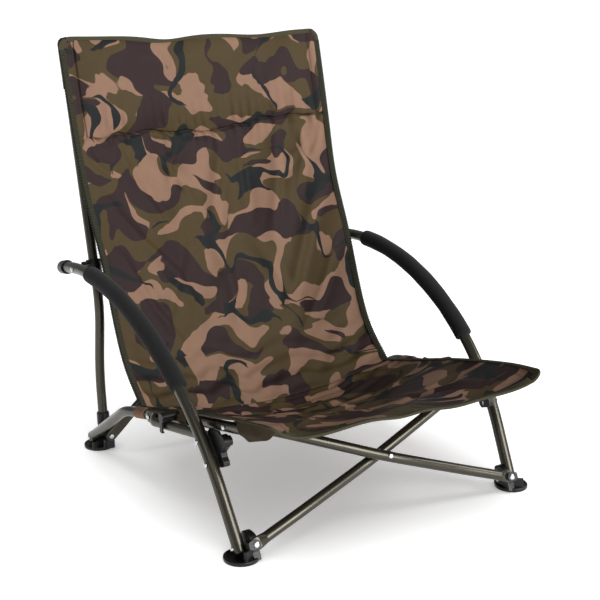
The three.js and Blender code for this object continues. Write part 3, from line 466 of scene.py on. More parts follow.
PAD_ROWS = eased([(0, 0), (29.3, 0), (30.7, 1.2), (30.7, 6.4), (29.6, 7.2), (27.4, 7.2), (25.6, 4.6), (0, 4.2)], 0.7)
FRONT_PIN = (-316, 28)         # where a front crossed tube is riveted to its foot, and at its top
FRONT_TOP = (-235, 208)
LEAN = 81.0 / 180.0
PLANE = np.array((0, 81.0, 180.0)) / math.hypot(81, 180)      # the front pair leans back
FACE = np.array((0, -PLANE[2], PLANE[1]))
for side, hand in SIDES:
    pad = skin(turned(PAD_ROWS, (side * 290, -299, 0), (0, 0, 1), 96), loop=False)
    front = -316 + 2.3 / 0.912 - 25 * LEAN
    hub = slab(rounded(front, -278, 3, 42, 7, LEAN), side * 265.3, side * 278.9)
    boss = skin(turned([(0, 0), (10.5, 0), (10.5, 12), (0, 12)], (side * 278.6, -291, 17), (-side, 0, 0), 40),
                loop=False)
    web = slab([(y, z) for y, z in rounded(-3.2, 3.2, 3, 24, 3.0)], -13.5, 13.5)
    turn = math.radians(28) * -side
    web = ([(side * 285 + x * math.cos(turn) - y * math.sin(turn),
             -318.5 + x * math.sin(turn) + y * math.cos(turn), z) for x, y, z in web[0]], web[1])
    pivot = np.array((side * 273.0, *FRONT_PIN))
    tilted = lambda solid: ([tuple(pivot + np.array((x, 0, 0)) + PLANE * z + FACE * y)
                             for x, y, z in solid[0]], solid[1])
    cheek = skin(turned([(0, 2.4), (9.0, 2.4), (9.0, 4.8), (0, 4.8)], pivot, FACE, 40), loop=False)
    strap = skin(turned([(0, 2.4), (9.0, 2.4), (9.0, 4.8), (0, 4.8)], pivot + (side * 5, 0, 0), FACE, 40), loop=False)
    wrap = tilted(slab([(-9, -6.5), (4.6, -6.5), (4.6, 6.5), (-9, 6.5)], side * 11.0, side * 13.8))
    foot = moulded(f"foot_front_{hand}", [pad, hub, boss, web, cheek, strap, wrap], nylon, flat_foot=0.0)
    fitted(foot, f"front_foot_{hand}", f"front_foot_{hand}")

    pad = skin(turned(PAD_ROWS, (side * 290, 299, 0), (0, 0, 1), 96), loop=False)
    hub = slab(rounded(268.0, 314, 3, 26, 9), side * 270.5, side * 294)
    lug = skin(turned([(0, 0), (11.5, 0), (11.5, 5.0), (0, 5.0)], (side * 279, 264.4, 31), (0, 1, 0), 40), loop=False)
    post = slab(rounded(264.6, 270, 3, 31, 2), side * 270.5, side * 288)
    ear = slab(rounded(275.4, 300.6, 3, 48, 8), side * 266.2, side * 269.9)
    boss = slab(rounded(293.2, 316.8, 3, 27, 8), side * 293, side * 304.6)
    web = slab(rounded(-3.0, 3.0, 3, 21, 2.8), -12, 12)
    turn = math.radians(20) * -side
    web = ([(side * 303 + x * math.cos(turn) - y * math.sin(turn),
             279 + x * math.sin(turn) + y * math.cos(turn), z) for x, y, z in web[0]], web[1])
    foot = moulded(f"foot_rear_{hand}", [pad, hub, lug, post, ear, boss, web], nylon, flat_foot=0.0)
    fitted(foot, f"rear_foot_{hand}", f"rear_foot_{hand}")


# Rear uprights.
# 19 mm tubes that kick back at the hip and run on straight to the top of the sling. Each stands in
# a tapered black sleeve that is riveted to its foot.
TUBE_RADIUS = 9.5
UPRIGHT_SIDE = 283.0
UPRIGHT = [(288, 36), (300, 158), (284, 296), (418, 806)]
for side, hand in SIDES:
    line = [np.array((side * UPRIGHT_SIDE, y, z)) for y, z in UPRIGHT]
    foot = line[0] + unit(line[1] - line[0]) * 8
    axis = corner_path([foot] + line[1:], [45, 45], 8)
    tube = outward(finished_mesh(f"upright_tube_{hand}", *skin(swept(axis, TUBE_RADIUS, 36)), gunmetal))
    crisp(tube)
    fitted(tube, f"upright_{hand}", f"upright_{hand}")

    rows = eased([(0, -7), (11.2, -7), (12.2, 6), (12.7, 14), (12.7, 36), (11.9, 39), (9.8, 39),
                  (9.8, 7.7), (0, 7.7)], 1.2)
    corners, faces = skin(turned(rows, line[0], line[1] - line[0], 56), loop=False)
    sleeve = outward(finished_mesh(f"upright_socket_{hand}", corners, faces, nylon))
    crisp(sleeve, 50)
    fitted(sleeve, f"upright_sleeve_{hand}", f"upright_{hand}")


# Sliders.
# A black nylon collar runs up each upright. Its outer block is riveted to the arm and its front
# lug holds the top of a rear crossed tube, so the chair folds when both collars rise.
SLOPE = np.array((0, 134.0, 510.0)) / math.hypot(134, 510)
for side, hand in SIDES:
    arm = leg_axis(side, 600, 823, 0.5)
    pin = arm[np.argmin(abs(arm[:, 1] - 304.48))]
    centre = np.array((side * UPRIGHT_SIDE, 303.7, 370.96))
    collar_rows = eased([(0, -18), (14.0, -18), (15.0, -16.5), (15.0, -12), (14.3, -11), (14.3, 11),
                         (15.0, 12), (15.0, 16.5), (14.0, 18), (0, 18)], 0.6)
    collar = skin(turned(collar_rows, centre, SLOPE, 56), loop=False)
    block = slab(rounded(293.5, 315.5, pin[2] - 11, pin[2] + 11, 6), side * 284, side * (abs(pin[0]) - 12.3))
    boss = skin(turned([(0, 0), (12.5, 0), (12.5, 3.5), (0, 3.5)],
                       (side * (abs(pin[0]) - 12.3), pin[1], pin[2]), (-side, 0, 0), 40), loop=False)
    lug = slab(rounded(265.5, 300, 347.5, 364.5, 6), side * 270.5, side * 287.5)
    slider = moulded(f"slider_collar_{hand}", [collar, block, boss, lug], nylon, 0.7, 4,
                     bores=[(centre - SLOPE * 30, SLOPE, 60, 9.95)])
    fitted(slider, f"slider_{hand}", f"slider_{hand}")


# Side rails and links.
# Each rail is a 19 mm tube pressed flat at the rear foot, bent once and run on straight into the
# seat's corner pocket. The link is a lighter tube, pressed flat at both ends, from rail to leg.
def pressed(rings, end, inward, pin, radius, run=40.0, thick=4.0, wide=1.2):
    """Presses a tube's end flat across its pin, with a rounded tip."""
    along = unit(inward)
    across = np.cross(along, pin)
    across /= np.linalg.norm(across)
    through = np.cross(across, along)
    rel = rings - end
    distance = rel @ along
    near = (distance < run) & (np.linalg.norm(rel, axis=-1) < run * 2)
    smooth = lambda t: np.clip(t, 0, 1) ** 2 * (3 - 2 * np.clip(t, 0, 1))
    flat = 1 - smooth((distance - run * 0.5) / (run * 0.5))
    tip = np.clip((10.0 - distance) / 10.0, 0, 1)
    width = (1 + (wide - 1) * flat) * np.sqrt(np.maximum(0.0, 1 - tip**2 * 0.86))
    side_part, thin_part = rel @ across, rel @ through
    edge = np.clip(abs(side_part) / radius, 0, 1)
    blade = (thick / 2 * np.sign(thin_part) * np.minimum(1, np.abs(thin_part) / radius * 3.2)
             * np.sqrt(1 - edge**4 * 0.9))
    thin = thin_part * (1 - flat) + blade * flat
    moved = rings + np.where(near, side_part * (width - 1), 0)[..., None] * across
    return moved + np.where(near, thin - thin_part, 0)[..., None] * through


def with_flats(path, at_start=True, at_end=True):
    """Adds the close rings that a pressed end needs."""
    fine = np.array([0.15, 0.5, 1.1, 2.0, 3.2, 4.6, 6.5, 9, 12, 15, 18, 21, 24, 27, 30, 33, 36, 40])
    lengths = np.concatenate([[0], np.cumsum(np.linalg.norm(np.diff(path, axis=0), axis=1))])
    stations = [lengths]
    if at_start:
        stations.append(fine)
    if at_end:
        stations.append(lengths[-1] - fine)
    stations = np.unique(np.round(np.concatenate(stations), 3))
    keep = [stations[0]]
    for s in stations[1:]:
        if s - keep[-1] > 0.12:
            keep.append(s)
    keep[-1] = lengths[-1]
    return np.stack([np.interp(keep, lengths, path[:, k]) for k in range(3)], axis=1)


LINK_RADIUS = 7.5
RAIL = [(307, 305, 19), (311.5, 112, 138), (280, -135, 189), (272, -372, 238)]
for side, hand in SIDES:
    line = [np.array((side * x, y, z), float) for x, y, z in RAIL]
    start = line[0] + unit(line[0] - line[1]) * 9
    stop = line[3] + unit(line[2] - line[3]) * 40
    axis = with_flats(corner_path([start] + line[1:3] + [stop], [24, 24], 8), True, False)
    rings = pressed(swept(axis, TUBE_RADIUS, 36), start, line[1] - start, (1, 0, 0), TUBE_RADIUS)
    rail = outward(finished_mesh(f"rail_tube_{hand}", *skin(rings), gunmetal))
    crisp(rail, 50)
    fitted(rail, f"side_rail_{hand}", f"rail_{hand}")

    height = lambda y: 159 + 16 * (5 - y) / 196
    leg_inside = FOOT_SIDE + LEG_LEAN * 175 - LEG_RADIUS
    slope = (311.5 - 280) / (112 + 135)
    rail_out = 280 + (5 + 135) * slope + 9.5
    rows = [(rail_out + 3.8, 5.0), (rail_out + 3.8 - 13 * slope, -8.0), (318, -26),
            (leg_inside - 9, -176), (leg_inside - 9, -191)]
    line = [np.array((side * x, y, height(y))) for x, y in rows]
    start = line[0] + unit(line[0] - line[1]) * 9
    end = line[-1] + unit(line[-1] - line[-2]) * 9
    axis = with_flats(corner_path([start] + line[1:-1] + [end], [7.5, 7.5, 7.5], 6))
    rings = swept(axis, LINK_RADIUS, 32)
    centres = rings.mean(axis=1, keepdims=True)
    rings = centres + (rings - centres) * (0.84, 0.84, 1.22)       # drawn to a flat oval, standing on edge
    rings = pressed(rings, start, line[1] - start, (1, 0, 0), LINK_RADIUS)
    rings = pressed(rings, end, line[-2] - end, (side, 0, -LEG_LEAN), LINK_RADIUS)
    link = outward(finished_mesh(f"link_tube_{hand}", *skin(rings), gunmetal))
    crisp(link, 50)
    fitted(link, f"side_link_{hand}", f"link_{hand}")


# Rail clips and leg brackets.
# The clip is a black saddle on the rail with a hook down outside the link, which snaps into it. The
# bracket is a nylon plate riveted inside the leg, with a round knob behind and a heel below.
for side, hand in SIDES:
    line = [np.array((side * x, y, z), float) for x, y, z in RAIL]
    t = (112 + 65) / (112 + 135)
    rail_at = line[1] + (line[2] - line[1]) * t
    along = unit(line[2] - line[1])
    knee, tip = (np.array((side * 318.0, -26, 159 + 16 * 31 / 196)),
                 np.array((side * 283.475, -176, 159 + 16 * 181 / 196)))
    link_at = knee + (tip - knee) * (39 / 150)
    outer = abs(link_at[0]) + 7.5 + 1 + 3.2
    bar = slab(rounded(-74, -56, rail_at[2] - 1, rail_at[2] + 13, 6), side * (abs(rail_at[0]) - 9.5), side * outer)
    stem = slab(rounded(-70, -60, link_at[2] - 12.6, rail_at[2] + 12.4, 3), side * (outer - 3.6), side * outer)
    barb = slab([(-69.5, link_at[2] - 12.6), (-60.5, link_at[2] - 12.6),
                 (-60.5, link_at[2] - 9.6), (-69.5, link_at[2] - 9.6)],
                side * (outer - 5), side * outer)
    clip = moulded(f"link_clip_{hand}", [bar, stem, barb], nylon, 0.5, 3,
                   bores=[(rail_at - along * 40, along, 80, 10.0),
                          (link_at - (tip - knee) * 0.25, tip - knee, 75, 8.3)])
    fitted(clip, f"rail_clip_{hand}", f"rail_{hand}")

    leaning = lambda solid: ([(x + side * LEG_LEAN * z, -206 + (y + 206) * 0.8, z) for x, y, z in solid[0]], solid[1])
    knob = [(-248 + 14.5 * math.cos(math.radians(t)), 187.5 + 12.0 * math.sin(math.radians(t)))
            for t in range(60, 246, 12)]
    heel = [(-241, 166), (-243, 158), (-250, 151), (-251, 144), (-244, 140), (-214, 131), (-206, 134), (-182, 165),
            (-181, 178), (-186, 190), (-196, 199), (-236, 203)]
    plate = leaning(slab(knob + heel, side * 273.6, side * 278.2))
    front = leaning(slab(knob + heel[:5] + [(-231, 137), (-229, 150), (-229, 190)], side * 266.0, side * 278.2))
    thumb = leaning(slab([(-248 + (y + 248) * 0.74, 186 + (z - 186) * 0.74) for y, z in knob]
                         + [(-244, 176), (-238, 192)], side * 260, side * 278.2))
    bracket = moulded(f"leg_gusset_{hand}", [plate, front, thumb], nylon, 0.6, 8)
    fitted(bracket, f"leg_bracket_{hand}", f"leg_{hand}")


# Crossed pairs.
# Four 19 mm tubes, bent low down and pressed flat where they are riveted. The front pair lies in a
# plane that leans back to the rails; the rear pair stands upright between the feet and the sliders.
def crossing(side, foot, top, face, share, move, hold, drop, long_flat, name, material):
    """A crossed tube from its foot pin to its top pin, beside its pair's plane so that the two can pass."""
    middle = (foot + top) / 2 + face * side * 10.3 + drop
    run = unit(top - foot) * hold
    bend = foot + (top - foot) * share + move
    near_top = top + (foot - top) * 0.12
    start = foot - unit(bend - foot) * 9
    end = top - unit(near_top - top) * 9
    axis = with_flats(corner_path([start, bend, middle - run, middle + run, near_top, end], [28, 20, 20, 28], 8))
    rings = swept(axis, TUBE_RADIUS, 36)
    rings = pressed(rings, start, bend - start, face, TUBE_RADIUS, long_flat)
    rings = pressed(rings, end, near_top - end, face, TUBE_RADIUS)
    tube = outward(finished_mesh(name, *skin(rings), material))
    crisp(tube, 50)
    return tube, middle


front_middle = None
for side, hand in SIDES:
    foot, top = np.array((side * 273.0, *FRONT_PIN)), np.array((-side * 249.0, *FRONT_TOP))
    tube, middle = crossing(side, foot, top, FACE, 0.2, -PLANE * 3.2, 28, -PLANE * 8, 34,
                            f"front_cross_{hand}", gunmetal)
    front_middle = middle if side > 0 else front_middle
    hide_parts(f"front_tube_{hand}")
    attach(tube, f"front_tube_{hand}")
    foot, top = np.array((side * 279.0, 262, 31)), np.array((-side * 279.0, 262, 355.96))
    tube, middle = crossing(side, foot, top, np.array((0, -1.0, 0)), 0.14, np.array((0, 0, 26.0)), 70, 0, 80,
                            f"rear_cross_{hand}", gunmetal)
    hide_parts(f"rear_tube_{hand}")
    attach(tube, f"rear_tube_{hand}")

    # The knuckle behind each front tube's top end
    place = np.array((-side * 249.0, *FRONT_TOP)) - FACE * 9.8
    x_axis = np.array((1.0, 0, 0))
    solid = slab(rounded(-9, 9, -9, 9, 4), -9.5, 9.5)
    corners = [tuple(place + x_axis * x + PLANE * z + FACE * (y / 9 * 7.4)) for x, y, z in solid[0]]
    lobe = skin(turned([(0, -7.4), (9.5, -7.4), (9.5, 7.4), (0, 7.4)], place, FACE, 40), loop=False)
    knuckle = moulded(f"tube_knuckle_{hand}", [(corners, solid[1]), lobe], nylon, 0.6, 4)
    fitted(knuckle, f"knuckle_{hand}", f"front_tube_{hand}")


# Rivets.
# Plated steel tubular rivets close every joint: a domed head with a shallow dimple in its middle.
# The two at the front feet are larger. Each shows only its heads and a little of its shank.
chrome_steel = coat("plated rivet steel", (0.62, 0.62, 0.63), 0.2, 1.0, 0.03, 900, 0.03)

head_rows = eased([(0, -1.6), (0.52, -1.6), (0.52, 0), (1, 0), (1.0, 0.1), (0.86, 0.36), (0.5, 0.5), (0.24, 0.52),
                   (0.17, 0.4), (0, 0.38)], 0.03)
head_corners, head_faces = skin(turned(head_rows, (0, 0, 0), (0, 0, 1), 28), loop=False)
rivet_head = outward(finished_mesh("rivet_head", head_corners * 1000 - (0, MIDDLE_BACK, 0), head_faces, chrome_steel))
crisp(rivet_head, 40)


def spread_tree(name, unit, material, sizes):
    """A tree that puts one unit on every point, turned by the point's own turn."""
    tree = bpy.data.node_groups.new(name, "GeometryNodeTree")
    tree.interface.new_socket("Geometry", in_out="INPUT", socket_type="NodeSocketGeometry")
    for size, value in sizes:
        tree.interface.new_socket(size, in_out="INPUT", socket_type="NodeSocketFloat").default_value = value
    tree.interface.new_socket("Geometry", in_out="OUTPUT", socket_type="NodeSocketGeometry")
    nodes, links = tree.nodes, tree.links
    source, result = nodes.new("NodeGroupInput"), nodes.new("NodeGroupOutput")
    lone = nodes.new("GeometryNodeObjectInfo")
    lone.inputs["Object"].default_value = unit
    lone.transform_space = "ORIGINAL"
    turn = nodes.new("GeometryNodeInputNamedAttribute")
    turn.data_type = "FLOAT_VECTOR"
    turn.inputs["Name"].default_value = "turn"
    place = nodes.new("GeometryNodeInstanceOnPoints")
    size = nodes.new("ShaderNodeCombineXYZ")
    for axis in "XYZ":
        links.new(source.outputs["Length" if axis == "Z" and len(sizes) > 1 else "Radius"], size.inputs[axis])
    links.new(source.outputs["Geometry"], place.inputs["Points"])
    links.new(lone.outputs["Geometry"], place.inputs["Instance"])
    links.new(turn.outputs["Attribute"], place.inputs["Rotation"])
    links.new(size.outputs["Vector"], place.inputs["Scale"])
    real = nodes.new("GeometryNodeRealizeInstances")
    finish = nodes.new("GeometryNodeSetMaterial")
    finish.inputs["Material"].default_value = material
    links.new(place.outputs["Instances"], real.inputs["Geometry"])
    links.new(real.outputs["Geometry"], finish.inputs["Geometry"])
    links.new(finish.outputs["Geometry"], result.inputs["Geometry"])
    return tree


def spread(name, tree, places, turns, sizes):
    """A plain mesh of the tree's units at the places, in millimetres, facing as the turns say."""
    points = bpy.data.meshes.new(name + "_points")
    points.from_pydata(((np.asarray(places, float) + (0, MIDDLE_BACK, 0)) / 1000).tolist(), [], [])
    facing = points.attributes.new("turn", "FLOAT_VECTOR", "POINT")
    facing.data.foreach_set("vector", np.asarray(turns, float).ravel())
    holder = bpy.data.objects.new(name + "_points", points)
    scene.collection.objects.link(holder)
    nodes = holder.modifiers.new("spread", "NODES")
    nodes.node_group = tree
    for item in tree.interface.items_tree:
        if item.in_out == "INPUT" and item.name in sizes:
            nodes[item.identifier] = sizes[item.name]
    bpy.context.view_layer.update()
    made = bpy.data.meshes.new_from_object(holder.evaluated_get(bpy.context.evaluated_depsgraph_get()))
    made.name = name
    bpy.data.objects.remove(holder)
    piece = bpy.data.objects.new(name, made)
    scene.collection.objects.link(piece)
    return piece


def facing(direction):
    """The turn that points a unit's own upward axis along the direction."""
    return tuple(Vector(direction).to_track_quat("Z", "Y").to_euler())


rivet_tree = spread_tree("rivet heads", rivet_head, chrome_steel, (("Radius", 0.005),))


def rivets(name, body, heads, radius=5.0, node=None):
    """Rivet heads of one body: each has its seat and the direction that it faces."""
    piece = spread(name, rivet_tree, [h[0] for h in heads], [facing(h[1]) for h in heads], {"Radius": radius / 1000})
    crisp(piece, 40)
    if node:
        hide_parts(node)
    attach(piece, body)


for side, hand in SIDES:
    out, back = (side, 0, 0), (-side, 0, 0)
    leg_x = lambda z: FOOT_SIDE + LEG_LEAN * z
    rivets(f"rivet_foot_heads_{hand}", f"leg_{hand}",
           [((side * 264.4, -291, 17), back), ((side * (leg_x(17) + 11.4), -291, 17), out)], 5, f"rivet_foot_{hand}")
    rivets(f"rivet_front_head_{hand}", f"front_foot_{hand}",
           [(np.array((side * 273.0, *FRONT_PIN)) + FACE * 4.9, FACE)], 5.6, f"rivet_front_tube_{hand}")
    rivets(f"rivet_rear_head_{hand}", f"rear_foot_{hand}",
           [((side * 279, 259.7, 31), (0, -1, 0))], 5, f"rivet_rear_tube_{hand}")
    rivets(f"rivet_socket_head_{hand}", f"rear_foot_{hand}", [((side * 266.0, 288, 36), back)], 5)
    rivets(f"rivet_rail_foot_head_{hand}", f"rear_foot_{hand}",
           [((side * 309.3, 305, 19), out)], 5, f"rivet_rail_foot_{hand}")
    rivets(f"rivet_arm_head_{hand}", f"slider_{hand}",
           [((side * (leg_x(373.96) + 11.4), 304.48, 373.96), out)], 5, f"rivet_arm_{hand}")
    rivets(f"rivet_slider_head_{hand}", f"slider_pin_{hand}",
           [((side * 279, 259.7, 355.96), (0, -1, 0))], 5, f"rivet_slider_{hand}")
    rivets(f"rivet_rail_heads_{hand}", f"rail_{hand}",
           [((side * (276.6 + 9.9), -235, 209.7), out), ((side * (276.6 - 9.9), -235, 209.7), back)],
           5, f"rivet_rail_front_{hand}")
    rivets(f"rivet_link_head_{hand}", f"link_{hand}", [((side * 313.4, 5, 159), out)], 5, f"rivet_link_rail_{hand}")
    rivets(f"rivet_link_leg_heads_{hand}", f"leg_{hand}",
           [((side * 281.1, -191, 175), back), ((side * (leg_x(175) + 11.4), -191, 175), out)],
           5, f"rivet_link_leg_{hand}")
    rivets(f"rivet_gusset_heads_{hand}", f"leg_{hand}",
           [((side * (leg_x(143) - 16.4), -219, 143), back), ((side * (leg_x(143) + 11.4), -219, 143), out)], 5)
    rivets(f"rivet_knuckle_head_{hand}", f"front_tube_{hand}",
           [(np.array((-side * 249.0, *FRONT_TOP)) + FACE * 2.3, FACE)], 5)
rivets("rivet_front_cross_head", "front_tube_right", [(front_middle + FACE * 9.8, FACE)], 5, "rivet_front_cross")
rivets("rivet_rear_cross_heads", "rear_tube_right",
       [((0, 262 - 20.2, 193.5), (0, -1, 0)), ((0, 262 + 20.2, 193.5), (0, 1, 0))], 5, "rivet_rear_cross")
bpy.data.objects.remove(rivet_head)


# Sling cloth.
# Printed polyester oxford, cut as a back panel and a seat panel that are sewn together at the hip.
# It hangs between the uprights and the rails, so it bellies, and it creases where it is pulled.
def through(rows, shares):
    """Points on the smooth line through the rows, at shares of the way from the first to the last."""
    rows = [np.asarray(r, float) for r in rows]
    rows = [2 * rows[0] - rows[1]] + rows + [2 * rows[-1] - rows[-2]]
    out = []
    for share in np.atleast_1d(shares):
        at = min(max(share, 0.0) * (len(rows) - 3), len(rows) - 3 - 1e-9)
        i, t = int(at), at - int(at)
        a, b, c, d = rows[i:i + 4]
        before, middle, after = [math.sqrt(np.linalg.norm(q - p)) for p, q in ((a, b), (b, c), (c, d))]
        lead = ((b - a) / before - (c - a) / (before + middle) + (c - b) / middle) * middle
        trail = ((c - b) / middle - (d - b) / (middle + after) + (d - c) / after) * middle
        out.append(b + lead * t + (3 * (c - b) - 2 * lead - trail) * t * t + (2 * (b - c) + lead + trail) * t**3)
    return np.array(out)


def panel(halves, edges, sags, corner, corner_at_start, flatten=0.0, dips=()):
    """A panel's own surface: points for shares u across it and v along it, its free corners rounded.
    Its free end may hang flatter in the middle than its belly does, or dip at one place."""
    dense = np.linspace(0, 1, 241)
    edge = through([(h, y, z) for h, (y, z) in zip(halves, edges)], dense)
    sag = through([(i, y, z) for i, (y, z) in enumerate(sags)], dense)
    run = np.concatenate([[0], np.cumsum(np.linalg.norm(np.diff(edge, axis=0), axis=1))])

    def at(u, v):
        u, v = np.broadcast_arrays(np.asarray(u, float), np.asarray(v, float))
        v = np.interp(v * run[-1], run, dense)
        place = [np.interp(v, dense, edge[:, k]) for k in range(3)]
        move = [np.interp(v, dense, sag[:, k]) for k in (1, 2)]
        along = np.interp(v, dense, run)
        from_end = along if corner_at_start else run[-1] - along
        cut = np.clip(corner - from_end, 0, corner)
        half = place[0] - (corner - np.sqrt(corner**2 - cut**2))
        across = (u * 2 - 1) * half / place[0]
        near = np.clip((v - 0.7) / 0.3, 0, 1) ** 2 * flatten
        belly = 1 - abs(across) ** (2 + near)
        low = move[1] * belly - sum(deep * np.exp(-((place[0] * across - x) / wide) ** 2 - along / 34)
                                    for x, wide, deep in dips)
        return np.stack([place[0] * across, place[1] + move[0] * belly, place[2] + low], axis=-1)
    return at, run[-1]


BACK_ROWS = [(h * 806, s) for h, s in zip((1.009, 0.886, 0.775, 0.639, 0.496, 0.267, 0.17804),
                                          (12.8, 14.8, 17.4, 23.5, 52.3, 88.6, 143.93))]
back_at, back_run = panel((297, 296, 294, 290, 286, 284, 283),
                          [(418 + (z - 806) * 134 / 510 - s, z) for z, s in BACK_ROWS],
                          [(2, -5), (16, -6), (26, -6), (34, -8), (36, -14), (26, -30), (12, -44)], 17, True,
                          dips=((-65, 55, 8), (150, 62, 5.5), (-300, 17, 7), (300, 12, 4)))
seat_at, seat_run = panel((283, 286, 288, 286, 276),
                          [(100, 143.5), (0, 170), (-130, 205.5), (-290, 240), (-392, 256)],
                          [(12, -44), (2, -58), (0, -54), (2, -38), (14, -31)], 24, False, flatten=9)


def ripples(x, s, lengths, heights, lean, seed):
    """A smooth uneven wave over the cloth, of the given wavelengths, mostly along one direction."""
    rng = np.random.default_rng(seed)
    total = np.zeros(np.broadcast(x, s).shape)
    for length, height in zip(lengths, heights):
        for k in range(4):
            turn = lean + rng.uniform(-0.32, 0.32)
            total += height / 2 * np.sin((x * math.cos(turn) + s * math.sin(turn)) * 2 * math.pi
                                         / (length * rng.uniform(0.75, 1.35)) + rng.uniform(0, 6.28))
    return total


def ridge(x, s, a, b, width, height, rng):
    """One soft fold from a to b that wanders a little and dies out at both ends."""
    a, b = np.array(a, float), np.array(b, float)
    length = np.linalg.norm(b - a)
    along = (b - a) / length
    t = ((x - a[0]) * along[0] + (s - a[1]) * along[1]) / length
    off = (x - a[0]) * along[1] - (s - a[1]) * along[0] + 7 * np.sin(t * 5 + rng.uniform(0, 6))
    body = np.clip(t * (1 - t) * 4, 0, 1) ** 0.8
    return height * body * (np.exp(-(off / width) ** 2) - 0.55 * np.exp(-((off - 1.6 * width) / width) ** 2))


SEAM = 196.0                   # the headrest ends this far down the back


def seam_at(x):
    """The headrest seam's own wandering line: it runs up a little to the right."""
    rise = np.clip((x - 10) / 230, 0, 1)
    return SEAM - 16 * rise * rise * (3 - 2 * rise) + ripples(x, x * 0, (230, 66), (4.6, 2.4), 0.0, 41)


def back_relief(across, x, s):
    """How far the back's cloth stands out of its smooth surface."""
    rng = np.random.default_rng(3)
    left = back_run - s
    below = np.clip((s - SEAM) / 40, 0, 1)
    seam = seam_at(x)
    out = -4.4 * np.exp(-((s - seam) / 4.6) ** 2) + 2.2 * np.exp(-((s - seam - 11) / 7) ** 2)
    out = out + ripples(x, s * 0.3, (21, 40), (1.9, 2.4), 0.0, 11) * np.exp(-abs(s - seam - 4) / 17)
    sleeve = np.clip((SEAM + 8 - s) / 16, 0, 1)
    out = out + sleeve * (3.6 * np.clip(1 - ((abs(x) - 283) / 15) ** 2, 0, 1)
                          - 2.0 * np.exp(-((abs(x) - 267.5) / 6.0) ** 2))
    folds = sum(ridge(x, s, a, b, w, h, rng) for a, b, w, h in (
        ((-205, SEAM + 4), (-120, 420), 12, 5.6), ((-140, SEAM), (-30, 380), 10, 4.4),
        ((-60, SEAM + 6), (-95, 330), 9, 4.0),
        ((30, SEAM), (-20, 470), 13, 5.6), ((95, SEAM + 2), (60, 400), 10, 4.6), ((170, SEAM), (120, 450), 12, 5.4),
        ((225, SEAM + 8), (205, 360), 9, 4.2), ((-255, 300), (-60, 600), 13, 6.4),
        ((-262, 420), (-120, 640), 10, 5.4),
        ((262, 330), (90, 610), 13, 6.4), ((265, 450), (130, 650), 10, 5.4), ((-20, 430), (10, 640), 15, 5.4),
        ((60, 420), (150, 620), 13, 4.8), ((-90, 400), (-170, 610), 13, 4.8), ((250, 220), (150, 330), 9, 3.6),
        ((-288, SEAM - 8), (-215, 300), 8, 4.0), ((288, SEAM - 8), (228, 290), 8, 4.0)))
    out = out + folds
    out = out + below * ripples(x, s, (150, 70), (2.0, 1.1), 0.35, 5)
    hip = np.exp(-(left / 95) ** 2)
    out = out + hip * (4.4 * np.sin(s * 2 * math.pi / 34 + ripples(x, s, (190, 90), (1.6, 0.9), 0.1, 17))
                       + ripples(x, s, (55, 30), (1.5, 0.9), 0.9, 23))
    out = out + 1.3 * np.exp(-(s / 22) ** 2) * np.sin(x / 31 + 1.4 * np.sin(x / 83))
    return out * (1 - abs(across) ** 14) * (1 - np.exp(-(left / 12) ** 2))


def seat_relief(across, x, s):
    """How far the seat's cloth stands out of its smooth surface."""
    rng = np.random.default_rng(9)
    left = seat_run - s
    hip = np.exp(-(s / 75) ** 2)
    out = hip * (5.0 * np.sin(s * 2 * math.pi / 29 + ripples(x, s, (200, 90), (1.7, 0.9), 0.1, 29))
                 + ripples(x, s, (60, 30), (1.4, 0.7), 0.8, 31))
    out = out + sum(ridge(x, s, a, b, w, h, rng) for a, b, w, h in (
        ((-262, 40), (40, 150), 13, 6.6), ((262, 50), (-70, 180), 12, 6.0), ((-255, 130), (120, 230), 13, 5.2),
        ((258, 150), (-120, 280), 13, 5.4), ((-250, 250), (60, 330), 11, 4.4), ((250, 300), (20, 360), 11, 4.4),
        ((-230, 440), (-60, 300), 12, 4.8), ((230, 440), (70, 300), 12, 4.8), ((-262, 90), (-120, 250), 10, 4.2)))
    out = out + ripples(x, s, (170, 80), (2.2, 1.1), 1.1, 37)
    out = out + 1.4 * np.exp(-(left / 26) ** 2) * np.sin(x / 24 + 1.2 * np.sin(x / 61))
    return out * (1 - abs(across) ** 9) * (1 - np.exp(-(s / 12) ** 2))


def face_up(at, u, v, step=1e-3):
    """The way out of a panel's face, at shares across it and along it."""
    down = at(u, np.clip(v + step, 0, 1)) - at(u, np.clip(v - step, 0, 1))
    over = at(np.clip(u + step, 0, 1), v) - at(np.clip(u - step, 0, 1), v)
    up = np.cross(down, over)
    return up / np.linalg.norm(up, axis=-1)[..., None]


def laid_out(at, run, relief, us, vs):
    """The panel's points, their facing and their flat places in metres, over a grid of shares."""
    u, v = np.meshgrid(us, vs) if np.ndim(us) == 1 else (us, vs)
    base, up = at(u, v), face_up(at, u, v)
    x, s = base[..., 0], v * run
    half = at(np.ones_like(v), v)[..., 0]
    move = relief(x / np.maximum(half, 1), x, s)
    return base + up * move[..., None], up, np.stack([x, s], axis=-1) / 1000


def lay_uv(piece, places):
    """Gives each corner of a mesh its flat place on the cloth, in metres."""
    layer = piece.data.uv_layers.new(name="cloth")
    corner = np.empty(len(piece.data.loops), dtype=np.int64)
    piece.data.loops.foreach_get("vertex_index", corner)
    layer.data.foreach_set("uv", np.asarray(places, float).reshape(-1, 2)[corner].ravel())
    return piece


